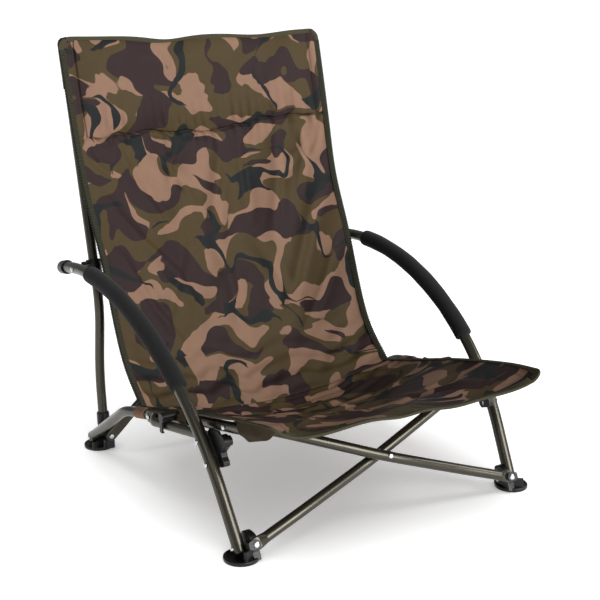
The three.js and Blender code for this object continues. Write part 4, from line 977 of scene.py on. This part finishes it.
def two_skins(name, points, up, flat, thick, material):
    """A closed sheet with a front and a back skin, a set distance apart."""
    rows, columns = points.shape[:2]
    thick = np.broadcast_to(np.asarray(thick, float), (rows, columns))[..., None] / 2
    corners = np.concatenate([(points + up * thick).reshape(-1, 3), (points - up * thick).reshape(-1, 3)])
    faces = []
    count = rows * columns
    for j in range(rows - 1):
        for i in range(columns - 1):
            a = j * columns + i
            faces.append((a, a + 1, a + 1 + columns, a + columns))
            faces.append((count + a + columns, count + a + columns + 1, count + a + 1, count + a))
    rim = [i for i in range(columns)] + [j * columns + columns - 1 for j in range(1, rows)]
    rim += ([(rows - 1) * columns + i for i in range(columns - 2, -1, -1)]
            + [j * columns for j in range(rows - 2, 0, -1)])
    faces += [(b, a, count + a, count + b) for a, b in zip(rim, rim[1:] + rim[:1])]
    piece = finished_mesh(name, corners, faces, material)
    lay_uv(piece, np.concatenate([flat.reshape(-1, 2)] * 2))
    return outward(piece)


def cloth_nodes(material, thread, shader):
    """Adds the weave of a cloth whose threads are the given distance apart, in metres, and its creases."""
    nodes, links = material.node_tree.nodes, material.node_tree.links
    place = nodes.new("ShaderNodeUVMap")
    place.uv_map = "cloth"
    threads = []
    for direction in "XY":
        wave = nodes.new("ShaderNodeTexWave")
        wave.bands_direction = direction
        wave.inputs["Scale"].default_value = 0.314 / thread
        wave.inputs["Distortion"].default_value = 0.4
        links.new(place.outputs["UV"], wave.inputs["Vector"])
        threads.append(wave)
    woven = nodes.new("ShaderNodeMath")
    woven.operation = "MAXIMUM"
    links.new(threads[0].outputs["Fac"], woven.inputs[0])
    links.new(threads[1].outputs["Fac"], woven.inputs[1])
    crumple = nodes.new("ShaderNodeTexNoise")
    crumple.inputs["Scale"].default_value = 46
    crumple.inputs["Detail"].default_value = 5
    crumple.inputs["Roughness"].default_value = 0.55
    links.new(place.outputs["UV"], crumple.inputs["Vector"])
    coarse = nodes.new("ShaderNodeBump")
    coarse.inputs["Strength"].default_value = 0.35
    coarse.inputs["Distance"].default_value = 0.0016
    links.new(crumple.outputs["Fac"], coarse.inputs["Height"])
    fine = nodes.new("ShaderNodeBump")
    fine.inputs["Strength"].default_value = 0.3
    fine.inputs["Distance"].default_value = 0.00018
    links.new(woven.outputs[0], fine.inputs["Height"])
    links.new(coarse.outputs["Normal"], fine.inputs["Normal"])
    links.new(fine.outputs["Normal"], shader.inputs["Normal"])
    return place, woven, crumple


def camo_cloth():
    """Woodland print of four colours on oxford cloth: olive ground, tan and brown blobs, slate veins."""
    material = bpy.data.materials.new("camo oxford cloth")
    material.use_nodes = True
    nodes, links = material.node_tree.nodes, material.node_tree.links
    shader = nodes["Principled BSDF"]
    shader.inputs["Roughness"].default_value = 0.62
    shader.inputs["Specular IOR Level"].default_value = 0.08
    shader.inputs["Sheen Weight"].default_value = 0.0
    shader.inputs["Sheen Roughness"].default_value = 0.45
    place, woven, crumple = cloth_nodes(material, 0.0008, shader)

    def math_node(kind, *values):
        node = nodes.new("ShaderNodeMath")
        node.operation = kind
        for slot, value in zip(node.inputs, values):
            if hasattr(value, "is_linked"):
                links.new(value, slot)
            else:
                slot.default_value = value
        return node.outputs[0]

    def shifted(source, move, size):
        node = nodes.new("ShaderNodeMapping")
        node.inputs["Location"].default_value = move
        node.inputs["Scale"].default_value = size
        links.new(source, node.inputs["Vector"])
        return node.outputs["Vector"]

    def cloud(source, scale, detail, roughness, move=(0, 0, 0), size=(1, 1, 1)):
        node = nodes.new("ShaderNodeTexNoise")
        node.inputs["Scale"].default_value = scale
        node.inputs["Detail"].default_value = detail
        node.inputs["Roughness"].default_value = roughness
        links.new(shifted(source, move, size), node.inputs["Vector"])
        return node

    def warped(source, scale, amount, move):
        pull = nodes.new("ShaderNodeVectorMath")
        pull.operation = "MULTIPLY_ADD"
        links.new(cloud(source, scale, 1.0, 0.4, move).outputs["Color"], pull.inputs[0])
        pull.inputs[1].default_value = (amount, amount, 0)
        links.new(source, pull.inputs[2])
        return pull.outputs["Vector"]

    def edged(value, level, soft=0.0025):
        node = nodes.new("ShaderNodeMapRange")
        node.inputs["From Min"].default_value = level - soft
        node.inputs["From Max"].default_value = level + soft
        links.new(value, node.inputs["Value"])
        return node.outputs["Result"]

    bent = warped(warped(place.outputs["UV"], 10, 0.15, (3.7, 1.9, 0)), 34, 0.022, (8.1, 2.2, 0))
    tan = edged(cloud(bent, 13.5, 0.5, 0.3, (1.31, 0.47, 0), (1, 1.2, 1)).outputs["Fac"], 0.53)
    brown = edged(cloud(bent, 12.5, 0.5, 0.3, (5.83, 3.29, 0), (0.9, 1.3, 1)).outputs["Fac"], 0.555)
    vein = cloud(bent, 9.0, 0.6, 0.35, (2.17, 7.77, 0), (1.2, 1, 1)).outputs["Fac"]
    where = cloud(bent, 11.0, 0.4, 0.3, (9.4, 6.1, 0)).outputs["Fac"]
    width = math_node("MULTIPLY", math_node("SUBTRACT", where, 0.44), 0.26)
    slate = edged(math_node("SUBTRACT", width, math_node("ABSOLUTE", math_node("SUBTRACT", vein, 0.5))),
                  0.009, 0.0012)

    def mixed(under, over, factor, blend="MIX"):
        node = nodes.new("ShaderNodeMix")
        node.data_type = "RGBA"
        node.blend_type = blend
        for slot, value in (("A", under), ("B", over)):
            if isinstance(value, tuple):
                node.inputs[slot].default_value = (*value, 1)
            else:
                links.new(value, node.inputs[slot])
        if isinstance(factor, float):
            node.inputs["Factor"].default_value = factor
        else:
            links.new(factor, node.inputs["Factor"])
        return node.outputs["Result"]

    print_colour = mixed((0.052, 0.0360, 0.0160), (0.190, 0.111, 0.0745), tan)
    print_colour = mixed(print_colour, (0.0245, 0.0140, 0.0142), brown)
    print_colour = mixed(print_colour, (0.0112, 0.0124, 0.0128), slate)
    # Painted shade: the print is darkened where the crumple relief is low, in its hollows.
    ramp = nodes.new("ShaderNodeValToRGB")
    ramp.color_ramp.elements[0].position = 0.25
    ramp.color_ramp.elements[0].color = (0.78, 0.78, 0.78, 1)
    ramp.color_ramp.elements[1].position = 0.75
    links.new(crumple.outputs["Fac"], ramp.inputs["Fac"])
    print_colour = mixed(print_colour, ramp.outputs["Color"], 0.45, "MULTIPLY")
    # Painted shade between the threads: the print is darker where the weave is low.
    shade = nodes.new("ShaderNodeValToRGB")
    shade.color_ramp.elements[0].color = (0.7, 0.7, 0.7, 1)
    links.new(woven.outputs[0], shade.inputs["Fac"])
    print_colour = mixed(print_colour, shade.outputs["Color"], 0.3, "MULTIPLY")
    links.new(print_colour, shader.inputs["Base Color"])
    links.new(math_node("MULTIPLY_ADD", crumple.outputs["Fac"], 0.16, 0.52), shader.inputs["Roughness"])
    return material


camo = camo_cloth()


def sewn(piece, body):
    """A finished piece of the sling: it follows its panel's part, with a mesh of its own."""
    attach(piece, body)
    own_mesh(piece)
    return piece


us = (1 - np.cos(np.linspace(0, math.pi, 191))) / 2 * 0.25 + np.linspace(0, 1, 191) * 0.75
points, up, flat = laid_out(back_at, back_run, back_relief, us,
                            np.concatenate([np.linspace(0, 0.03, 14)[:-1], np.linspace(0.03, 1, 196)]))
back_cloth = two_skins("sling_back_cloth", points, up, flat, 1.8, camo)
points, up, flat = laid_out(seat_at, seat_run, seat_relief, us,
                            np.concatenate([np.linspace(0, 0.955, 120), np.linspace(0.955, 1, 14)[1:]]))
flat[..., 1] += back_run / 1000
seat_cloth = two_skins("sling_seat_cloth", points, up, flat, 1.8, camo)
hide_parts("sling_back")
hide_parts("sling_seat")


# Headrest pad.
# A thin foam pad under the same cloth, sewn in between the two pocket seams and closed along the
# bottom by a gathered seam.
def padding(u, v):
    """The pad's thickness: full in the middle and pulled down at its seams."""
    side = np.clip(np.minimum(u, 1 - u) / 0.13, 0, 1)
    end = np.clip(np.minimum(v / 0.30, (1 - v) / 0.30), 0, 1)
    return 0.4 + 10.5 * (side * (2 - side)) ** 0.8 * (end * (2 - end)) ** 0.75


us = (1 - np.cos(np.linspace(0, math.pi, 181))) / 2 * 0.3 + np.linspace(0, 1, 181) * 0.7
vs = (1 - np.cos(np.linspace(0, math.pi, 81))) / 2 * 0.4 + np.linspace(0, 1, 81) * 0.6
u, v = np.meshgrid(us, vs)
ends_at = seam_at((0.1 + 1.8 * u - 1) * 292)
points, up, flat = laid_out(back_at, back_run, lambda a, x, s: 0 * x, 0.050 + u * 0.900,
                            (6 + v * (ends_at - 6)) / back_run)
x, s = flat[..., 0] * 1000, flat[..., 1] * 1000
thick = padding(u, v)
gather = (ripples(x, s * 0.3, (21, 40), (2.2, 2.6), 0.0, 11) * np.exp(-abs(s - ends_at) / 30)
          * np.clip((1 - v) * 12, 0, 1))
lumps = ripples(x, s, (150, 75), (1.8, 0.9), 0.5, 41) * np.clip(np.minimum(v, 1 - v) * 6, 0, 1)
pull = -1.4 * np.exp(-(np.minimum(u, 1 - u) / 0.02)) * np.cos(s / 9)
front = 1.4 + thick + (gather + lumps + pull) * np.clip(thick / 8, 0, 1)
pad = two_skins("headrest_cushion", points + up * ((1.2 + front) / 2)[..., None], up, flat,
                np.maximum(front - 1.2, 0.6), camo)
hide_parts("headrest_pad")


# Bindings and hems.
# Olive tape is folded over every raw edge: smooth twill over the top, the seat's sides and the front
# hem, and ribbed elastic down the back's sides, which is overlocked on.
def binding_cloth(name, colour, thread, rib):
    """A narrow woven tape, with ribs across it when a rib length is given in metres."""
    material = bpy.data.materials.new(name)
    material.use_nodes = True
    nodes, links = material.node_tree.nodes, material.node_tree.links
    shader = nodes["Principled BSDF"]
    shader.inputs["Roughness"].default_value = 0.8
    shader.inputs["Specular IOR Level"].default_value = 0.1
    shader.inputs["Sheen Weight"].default_value = 0.0
    place, woven, crumple = cloth_nodes(material, thread, shader)
    # Painted shade and highlight: the tape is darker in the hollows of its weave, and of its ribs where it has them,
    # and lighter on their tops.
    tone = nodes.new("ShaderNodeMix")
    tone.data_type = "RGBA"
    tone.inputs["A"].default_value = (*[c * 0.6 for c in colour], 1)
    tone.inputs["B"].default_value = (*[c * 1.25 for c in colour], 1)
    if rib:
        bars = nodes.new("ShaderNodeTexWave")
        bars.bands_direction = "Y"
        bars.inputs["Scale"].default_value = 0.314 / rib
        links.new(place.outputs["UV"], bars.inputs["Vector"])
        links.new(bars.outputs["Fac"], tone.inputs["Factor"])
        relief = nodes.new("ShaderNodeBump")
        relief.inputs["Strength"].default_value = 0.8
        relief.inputs["Distance"].default_value = 0.0007
        links.new(bars.outputs["Fac"], relief.inputs["Height"])
        links.new(shader.inputs["Normal"].links[0].from_socket, relief.inputs["Normal"])
        links.new(relief.outputs["Normal"], shader.inputs["Normal"])
    else:
        links.new(woven.outputs[0], tone.inputs["Factor"])
    links.new(tone.outputs["Result"], shader.inputs["Base Color"])
    return material


twill = binding_cloth("olive binding tape", (0.040, 0.036, 0.021), 0.0006, None)
elastic = binding_cloth("ribbed olive elastic", (0.026, 0.026, 0.015), 0.0005, 0.0034)


def edge_line(at, run, relief, shares):
    """The edge's points, the ways into the cloth and out of its face, for pairs of u and v."""
    u, v = np.array(shares).T
    points, up = at(u, v), face_up(at, u, v)
    half = at(np.ones_like(v), v)[..., 0]
    points = points + up * relief(points[..., 0] / np.maximum(half, 1), points[..., 0], v * run)[..., None]
    forward = np.gradient(points, axis=0)
    forward /= np.linalg.norm(forward, axis=1)[:, None]
    inside = np.cross(up, forward)
    middle = at(np.full_like(v, 0.5), np.full_like(v, 0.5))
    inside *= np.sign(((middle - points) * inside).sum(axis=1))[:, None]
    return points, inside, up


def tape(name, line, width, thick, material):
    """Tape folded over an edge, as a closed strip along it."""
    points, inside, up = line
    out = [(-1.9, 0.0), (-1.7, 0.9), (-0.9, thick), (width - 0.7, thick), (width, thick - 0.6), (width, 0.6),
           (width, -0.6), (width, -thick + 0.6), (width - 0.7, -thick), (-0.9, -thick), (-1.7, -0.9)]
    rings = np.stack([points + inside * a + up * b for a, b in out], axis=1)
    run = np.concatenate([[0], np.cumsum(np.linalg.norm(np.diff(points, axis=0), axis=1))]) / 1000
    girth = np.concatenate([[0], np.cumsum([math.dist(p, q) for p, q in zip(out, out[1:])])]) / 1000
    piece = finished_mesh(name, *skin(rings), material)
    lay_uv(piece, np.stack(np.meshgrid(girth, run), axis=-1))
    return crisp(outward(piece), 60)


ends = np.linspace(0, 1, 40)
side_shares = {hand: [(0.0 if side < 0 else 1.0, v) for v in np.linspace(0.030, 1, 200)] for side, hand in SIDES}
corner_rows = 17 / back_run * (1 - np.cos(ends * math.pi / 2))[::-1]
top_shares = [(0.0, v) for v in np.linspace(0.045, 17 / back_run, 12)[:-1]] + [(0.0, v) for v in corner_rows]
top_shares += [(u, 0.0) for u in np.linspace(0, 1, 190)[1:-1]]
top_shares += [(1 - u, v) for u, v in top_shares[:51][::-1]]
back_top = edge_line(back_at, back_run, back_relief, top_shares)
pieces_back = [tape("edge_tape_top", back_top, 8.5, 2.3, twill)]
back_side = {hand: edge_line(back_at, back_run, back_relief, side_shares[hand]) for _, hand in SIDES}
pieces_back += [tape(f"edge_elastic_back_{hand}", back_side[hand], 11, 3.0, elastic) for _, hand in SIDES]
corner_rows = 1 - 24 / seat_run * (1 - np.cos(ends * math.pi / 2))[::-1]
seat_side = {}
pieces_seat = []
for side, hand in SIDES:
    u = 0.0 if side < 0 else 1.0
    seat_side[hand] = edge_line(seat_at, seat_run, seat_relief, [(u, v) for v in np.linspace(0, 0.935, 150)])
    pieces_seat.append(tape(f"edge_tape_seat_{hand}", seat_side[hand], 8, 2.2, twill))
hem_shares = [(0.0, v) for v in np.linspace(0.92, 1 - 24 / seat_run, 12)[:-1]] + [(0.0, v) for v in corner_rows]
hem_shares += [(u, 1.0) for u in np.linspace(0, 1, 190)[1:-1]]
hem_shares += [(1 - u, v) for u, v in hem_shares[:51][::-1]]
hip = edge_line(seat_at, seat_run, seat_relief, [(u, 0.0) for u in np.linspace(0.004, 0.996, 120)])
hip_rings = swept(hip[0] - hip[2] * 1.4, 2.6, 10)
hip_seam = finished_mesh("hip_seam", *skin(hip_rings), camo)
hip_flat = np.stack(np.meshgrid(np.arange(10) * 0.0016 + back_run / 1000, hip[0][:, 0] / 1000), axis=-1)[..., ::-1]
lay_uv(hip_seam, hip_flat)
pieces_seat.append(outward(hip_seam))
seat_hem = edge_line(seat_at, seat_run, seat_relief, hem_shares)
pieces_seat.append(tape("edge_tape_hem", seat_hem, 11.5, 2.3, twill))


# Upright pockets.
# Behind each top corner a second layer of the cloth makes a closed sleeve over the upright's end.
def teardrop(radius, tip, tip_radius, count=56, hang=(0.0, 0.0), rise=0.0):
    """The outline of a cloth pulled round a tube and drawn together at the tip; it may also hang to a
    point, and the tube's own round may lie higher."""
    turns = np.arange(96) / 96 * 2 * math.pi
    disc = np.stack([np.cos(turns), np.sin(turns)], 1)
    cloud = np.concatenate([(0, rise) + disc * radius, np.asarray(tip) + disc * tip_radius,
                            np.asarray(hang) + disc * tip_radius])
    order = cloud[np.lexsort((cloud[:, 1], cloud[:, 0]))]

    def chain(points):
        out = []
        for p in points:
            while len(out) > 1 and ((out[-1][0] - out[-2][0]) * (p[1] - out[-2][1])
                                    - (out[-1][1] - out[-2][1]) * (p[0] - out[-2][0])) <= 0:
                out.pop()
            out.append(p)
        return out[:-1]
    hull = np.array(chain(order) + chain(order[::-1]))
    start = np.argmax(hull @ np.asarray(tip, float))
    hull = np.roll(hull, -start, axis=0)
    hull = np.concatenate([hull, hull[:1]])
    run = np.concatenate([[0], np.cumsum(np.linalg.norm(np.diff(hull, axis=0), axis=1))])
    at = np.arange(count) / count * run[-1]
    return np.stack([np.interp(at, run, hull[:, k]) for k in range(2)], axis=1)


for side, hand in SIDES:
    rings, places = [], []
    rows = np.concatenate([np.linspace(2.0, 16, 12), np.linspace(19, 100, 28)])
    direction = np.array((0, -134.0, -510.0)) / math.hypot(134, 510)
    behind = np.array((0, 510.0, -134.0)) / math.hypot(134, 510)
    top = np.array((side * UPRIGHT_SIDE, *UPRIGHT[-1]), float)
    for wall, order in ((0, rows), (1.3, rows[::-1])):
        for s in order:
            rise = math.sqrt(max(0.0, 1 - (max(0.0, 14 - s) / 14) ** 2))
            centre = top + direction * (s - 5.5) - np.array((side * 0.5, 0, 0))
            front = -12.6 - 0.02 * s
            ring = teardrop(max(0.6, (11.7 - wall) * (0.12 + 0.88 * rise)), (0.0, (front + 1.2 + wall * 0.6)), 0.7)
            shift = (1 - rise) * front * 0.85
            rings.append([centre + np.array((side, 0, 0)) * a + behind * (b + shift * (b > front)) for a, b in ring])
            places.append([(side * (283 + a) / 1000, s / 1000) for a, b in ring])
    pocket = finished_mesh(f"upright_pocket_{hand}", *skin(np.array(rings), loop=True), camo)
    lay_uv(pocket, np.array(places))
    outward(pocket)
    crisp(pocket, 60)
    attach(pocket, f"upright_{hand}")


# Corner pockets and rail loops.
# Brown cloth pouches under the seat's front corners take the rails' ends, and short loops of the
# printed cloth hold its sides to the rails.
def plain_cloth(name, colour):
    """Oxford cloth of one colour."""
    material = bpy.data.materials.new(name)
    material.use_nodes = True
    nodes, links = material.node_tree.nodes, material.node_tree.links
    shader = nodes["Principled BSDF"]
    shader.inputs["Roughness"].default_value = 0.72
    shader.inputs["Specular IOR Level"].default_value = 0.1
    shader.inputs["Sheen Weight"].default_value = 0.0
    place, woven, crumple = cloth_nodes(material, 0.0008, shader)
    tone = nodes.new("ShaderNodeMix")
    tone.data_type = "RGBA"
    # Painted shade and highlight: the cloth is darker in the crumple relief's hollows and lighter on its rises.
    tone.inputs["A"].default_value = (*[c * 0.72 for c in colour], 1)
    tone.inputs["B"].default_value = (*[c * 1.2 for c in colour], 1)
    links.new(crumple.outputs["Fac"], tone.inputs["Factor"])
    links.new(tone.outputs["Result"], shader.inputs["Base Color"])
    return material


brown_cloth = plain_cloth("brown oxford cloth", (0.036, 0.0245, 0.0125))


def sleeve_frame(start, end):
    """A rail's own directions: along it, outwards across it, and up."""
    along = unit(end - start)
    over = np.cross(along, (0, 0, 1.0))
    over /= np.linalg.norm(over)
    return along, over, np.cross(over, along)


for side, hand in SIDES:
    line = [np.array((side * x, y, z), float) for x, y, z in RAIL]
    tip = line[3]
    along, over, rise = sleeve_frame(tip, line[2])
    rings, places = [], []
    outer_rows = np.array([91.4, 91.2, 90.5, 89.2, 87.4, 85, 82, 78.5, 74, 66, 58, 50, 42, 34, 26, 20, 15, 10,
                           5, 0, -4, -7, -8])
    for r in (30.0, 40, 60, 89.5):
        turns = np.arange(56) / 56 * 2 * math.pi + math.pi / 2
        girth = 9.9 if r > 38 else 1.2
        lift = 0.0 if r > 38 else 4.0
        rings.append([tip + along * r + over * girth * math.cos(t) + rise * (girth * math.sin(t) + lift)
                      for t in turns])
        places.append([(t * 0.0099, r / 1000) for t in turns])
    for r in outer_rows:
        place = tip + along * r
        edge = seat_at(0.0 if side < 0 else 1.0, np.interp(place[1], [-392, -290, -130], [1.0, 0.75, 0.5]))
        lean = edge - place
        peak = (float(np.clip(lean @ over, -9, 9)) * 0.8, max(float(lean @ rise) - 2.4, 10.6))
        mouth = math.sqrt(max(0.0, 1 - (max(0.0, r - 74) / 17.5) ** 2))
        tuck = 1 - math.sqrt(max(0.0, 1 - (max(0.0, 22 - r) / 30.0) ** 2))
        low = -19 * mouth if r > 74 else -19 + 0.15 * (74 - r)
        low += tuck * (peak[1] - 3 - low)
        fade = min(1.0, max(0.0, (r - 8) / 30))
        size = 1.3 + 9.7 * fade * fade * (3 - 2 * fade)
        middle = max(0.0, low + size)
        ring = teardrop(size, (peak[0], max(peak[1], middle + 1.0)), 1.1,
                        hang=(0.0, min(low + 1.1, 0.0) if r > 38 else low + 1.1), rise=middle)
        rings.append([place + over * a + rise * b for a, b in ring])
        places.append([(g, r / 1000) for g in np.arange(56) / 56 * 0.09])
    pouch = finished_mesh(f"seat_corner_pouch_{hand}", *skin(np.array(rings)), brown_cloth)
    lay_uv(pouch, np.array(places))
    outward(pouch)
    crisp(pouch, 60)
    fitted(pouch, f"corner_pocket_{hand}", f"rail_{hand}")

    for number, (first, last) in enumerate(((64, 30), (-84, -110)), 1):
        on_rail = lambda y: line[1] + (line[2] - line[1]) * (112 - y) / (112 + 135)
        start, end = on_rail(first), on_rail(last)
        along, over, rise = sleeve_frame(start, end)
        rings = []
        for wall, order in ((1.3, (0, 0.25, 0.5, 0.75, 1)), (0.15, (1, 0.75, 0.5, 0.25, 0))):
            for t in order:
                place = start + (end - start) * t
                edge = seat_at(0.0 if side < 0 else 1.0, np.interp(place[1], [-130, 0, 96], [0.5, 0.25, 0.0]))
                lean = edge - place
                reach = max(0.0, np.linalg.norm(lean) - 4)
                peak = np.array((lean @ over, lean @ rise)) / np.linalg.norm(lean) * reach
                ring = teardrop(9.7 + wall, peak, 0.4 + wall * 0.4)
                rings.append([place + over * a + rise * b for a, b in ring])
        loop = finished_mesh(f"seat_loop_{number}_{hand}", *skin(np.array(rings), loop=True), camo)
        places = [(-0.15 + 0.13 * (number - 1) + k / 56 * 0.06, 0.30 + (end - start) @ along * t / 1000)
                  for t in (0, .25, .5, .75, 1, 1, .75, .5, .25, 0) for k in range(56)]
        lay_uv(loop, np.array(places))
        outward(loop)
        crisp(loop, 60)
        fitted(loop, f"rail_loop_{number}_{hand}", f"rail_{hand}")


# Stitching.
# Lockstitch in olive thread holds the bindings, pockets and the headrest seam, each box stitch marks
# a corner pouch, and a dark overlock runs down the elastic.
thread = coat("olive thread", (0.040, 0.037, 0.022), 0.7, 0.0, 0.3, 2500, 0.2)
dark_thread = coat("dark thread", (0.016, 0.017, 0.013), 0.7, 0.0, 0.3, 2500, 0.2)
stitch_rows = [(0.35, -0.5), (0.85, -0.36), (1.0, 0), (0.85, 0.36), (0.35, 0.5)]
stitch_corners, stitch_faces = skin(turned(stitch_rows, (0, 0, 0), (0, 0, 1), 6), loop=False)
stitch = outward(finished_mesh("stitch", stitch_corners * 1000 - (0, MIDDLE_BACK, 0), stitch_faces, thread))
stitch_tree = spread_tree("stitches", stitch, thread, (("Radius", 0.00035), ("Length", 0.003)))
overlock_tree = spread_tree("overlock", stitch, dark_thread, (("Radius", 0.0005), ("Length", 0.007)))


def stitched(points, up, pitch, lift):
    """Even stitches along a line: their seats and the ways they lie."""
    run = np.concatenate([[0], np.cumsum(np.linalg.norm(np.diff(points, axis=0), axis=1))])
    at = np.arange(pitch / 2, run[-1], pitch)
    place = np.stack([np.interp(at, run, (points + up * lift)[:, k]) for k in range(3)], axis=1)
    ahead = np.stack([np.interp(at + 0.8, run, (points + up * lift)[:, k]) for k in range(3)], axis=1)
    keep = np.linalg.norm(ahead - place, axis=1) > 1e-6
    return place[keep], (ahead - place)[keep]


def on_panel(at, run, relief, x, s):
    """Points on a panel's face, and the way out of it, at places across it and along it in millimetres."""
    x, s = np.broadcast_arrays(np.asarray(x, float), np.asarray(s, float))
    v = s / run
    half = at(np.ones_like(v), v)[..., 0]
    u = (x / half + 1) / 2
    up = face_up(at, u, v)
    return at(u, v) + up * relief(x / half, x, s)[..., None], up


on_back = lambda x, s: on_panel(back_at, back_run, back_relief, x, s)
on_seat = lambda x, s: on_panel(seat_at, seat_run, seat_relief, x, s)
back_lines, seat_lines, overlock = [], [], []
down_rows = np.linspace(10, SEAM, 90)
for side, hand in SIDES:
    for x in (266, 271.5):
        back_lines.append(stitched(*on_back(side * x + 0 * down_rows, down_rows), 4.2, 1.1))
    points, inside, up = back_side[hand]
    back_lines.append(stitched(points + inside * 9.6, up, 4.0, 3.1))
    run = np.concatenate([[0], np.cumsum(np.linalg.norm(np.diff(points, axis=0), axis=1))])
    at = np.arange(2, run[-1], 5.6)
    pick = lambda a: np.stack([np.interp(at, run, a[:, k]) for k in range(3)], axis=1)
    spots, ins, ups = pick(points), pick(inside), pick(up)
    forward = np.cross(ins, ups)
    overlock.append((spots + ins * 3.4 + ups * 3.2, ins + forward * 0.5))
    overlock.append((spots - ins * 2.0, ups + forward * 0.3))
    points, inside, up = seat_side[hand]
    seat_lines.append(stitched(points + inside * 7, up, 4.0, 2.3))
    for x0, s0, x1, s1 in ((222, 424, 260, 424), (260, 424, 260, 466), (260, 466, 222, 466), (222, 466, 222, 424)):
        t = np.linspace(0, 1, 16)
        seat_lines.append(stitched(*on_seat(side * (x0 + (x1 - x0) * t), s0 + (s1 - s0) * t), 3.6, 1.1))
across_rows = np.linspace(-289, 289, 170)
back_lines.append(stitched(*on_back(across_rows, seam_at(across_rows) + 2.4), 4.2, 1.2))
points, inside, up = back_top
back_lines.append(stitched(points + inside * 7.4, up, 4.0, 2.4))
points, inside, up = seat_hem
seat_lines.append(stitched(points + inside * 10.2, up, 4.0, 2.4))
for name, tree, lines, sizes, store in (
        ("stitches_back", stitch_tree, back_lines, {"Radius": 0.00042, "Length": 0.0031}, pieces_back),
        ("stitches_seat", stitch_tree, seat_lines, {"Radius": 0.00042, "Length": 0.0029}, pieces_seat),
        ("overlock_back", overlock_tree, overlock, {"Radius": 0.0008, "Length": 0.0080}, pieces_back)):
    places = np.concatenate([p for p, _ in lines])
    ways = np.concatenate([w for _, w in lines])
    store.append(spread(name, tree, places, [facing(w) for w in ways], sizes))
bpy.data.objects.remove(stitch)

# The sling goes together here: every piece follows its panel.
for piece in [back_cloth, pad] + pieces_back:
    sewn(piece, "back_sling")
for piece in [seat_cloth] + pieces_seat:
    sewn(piece, "seat_sling")
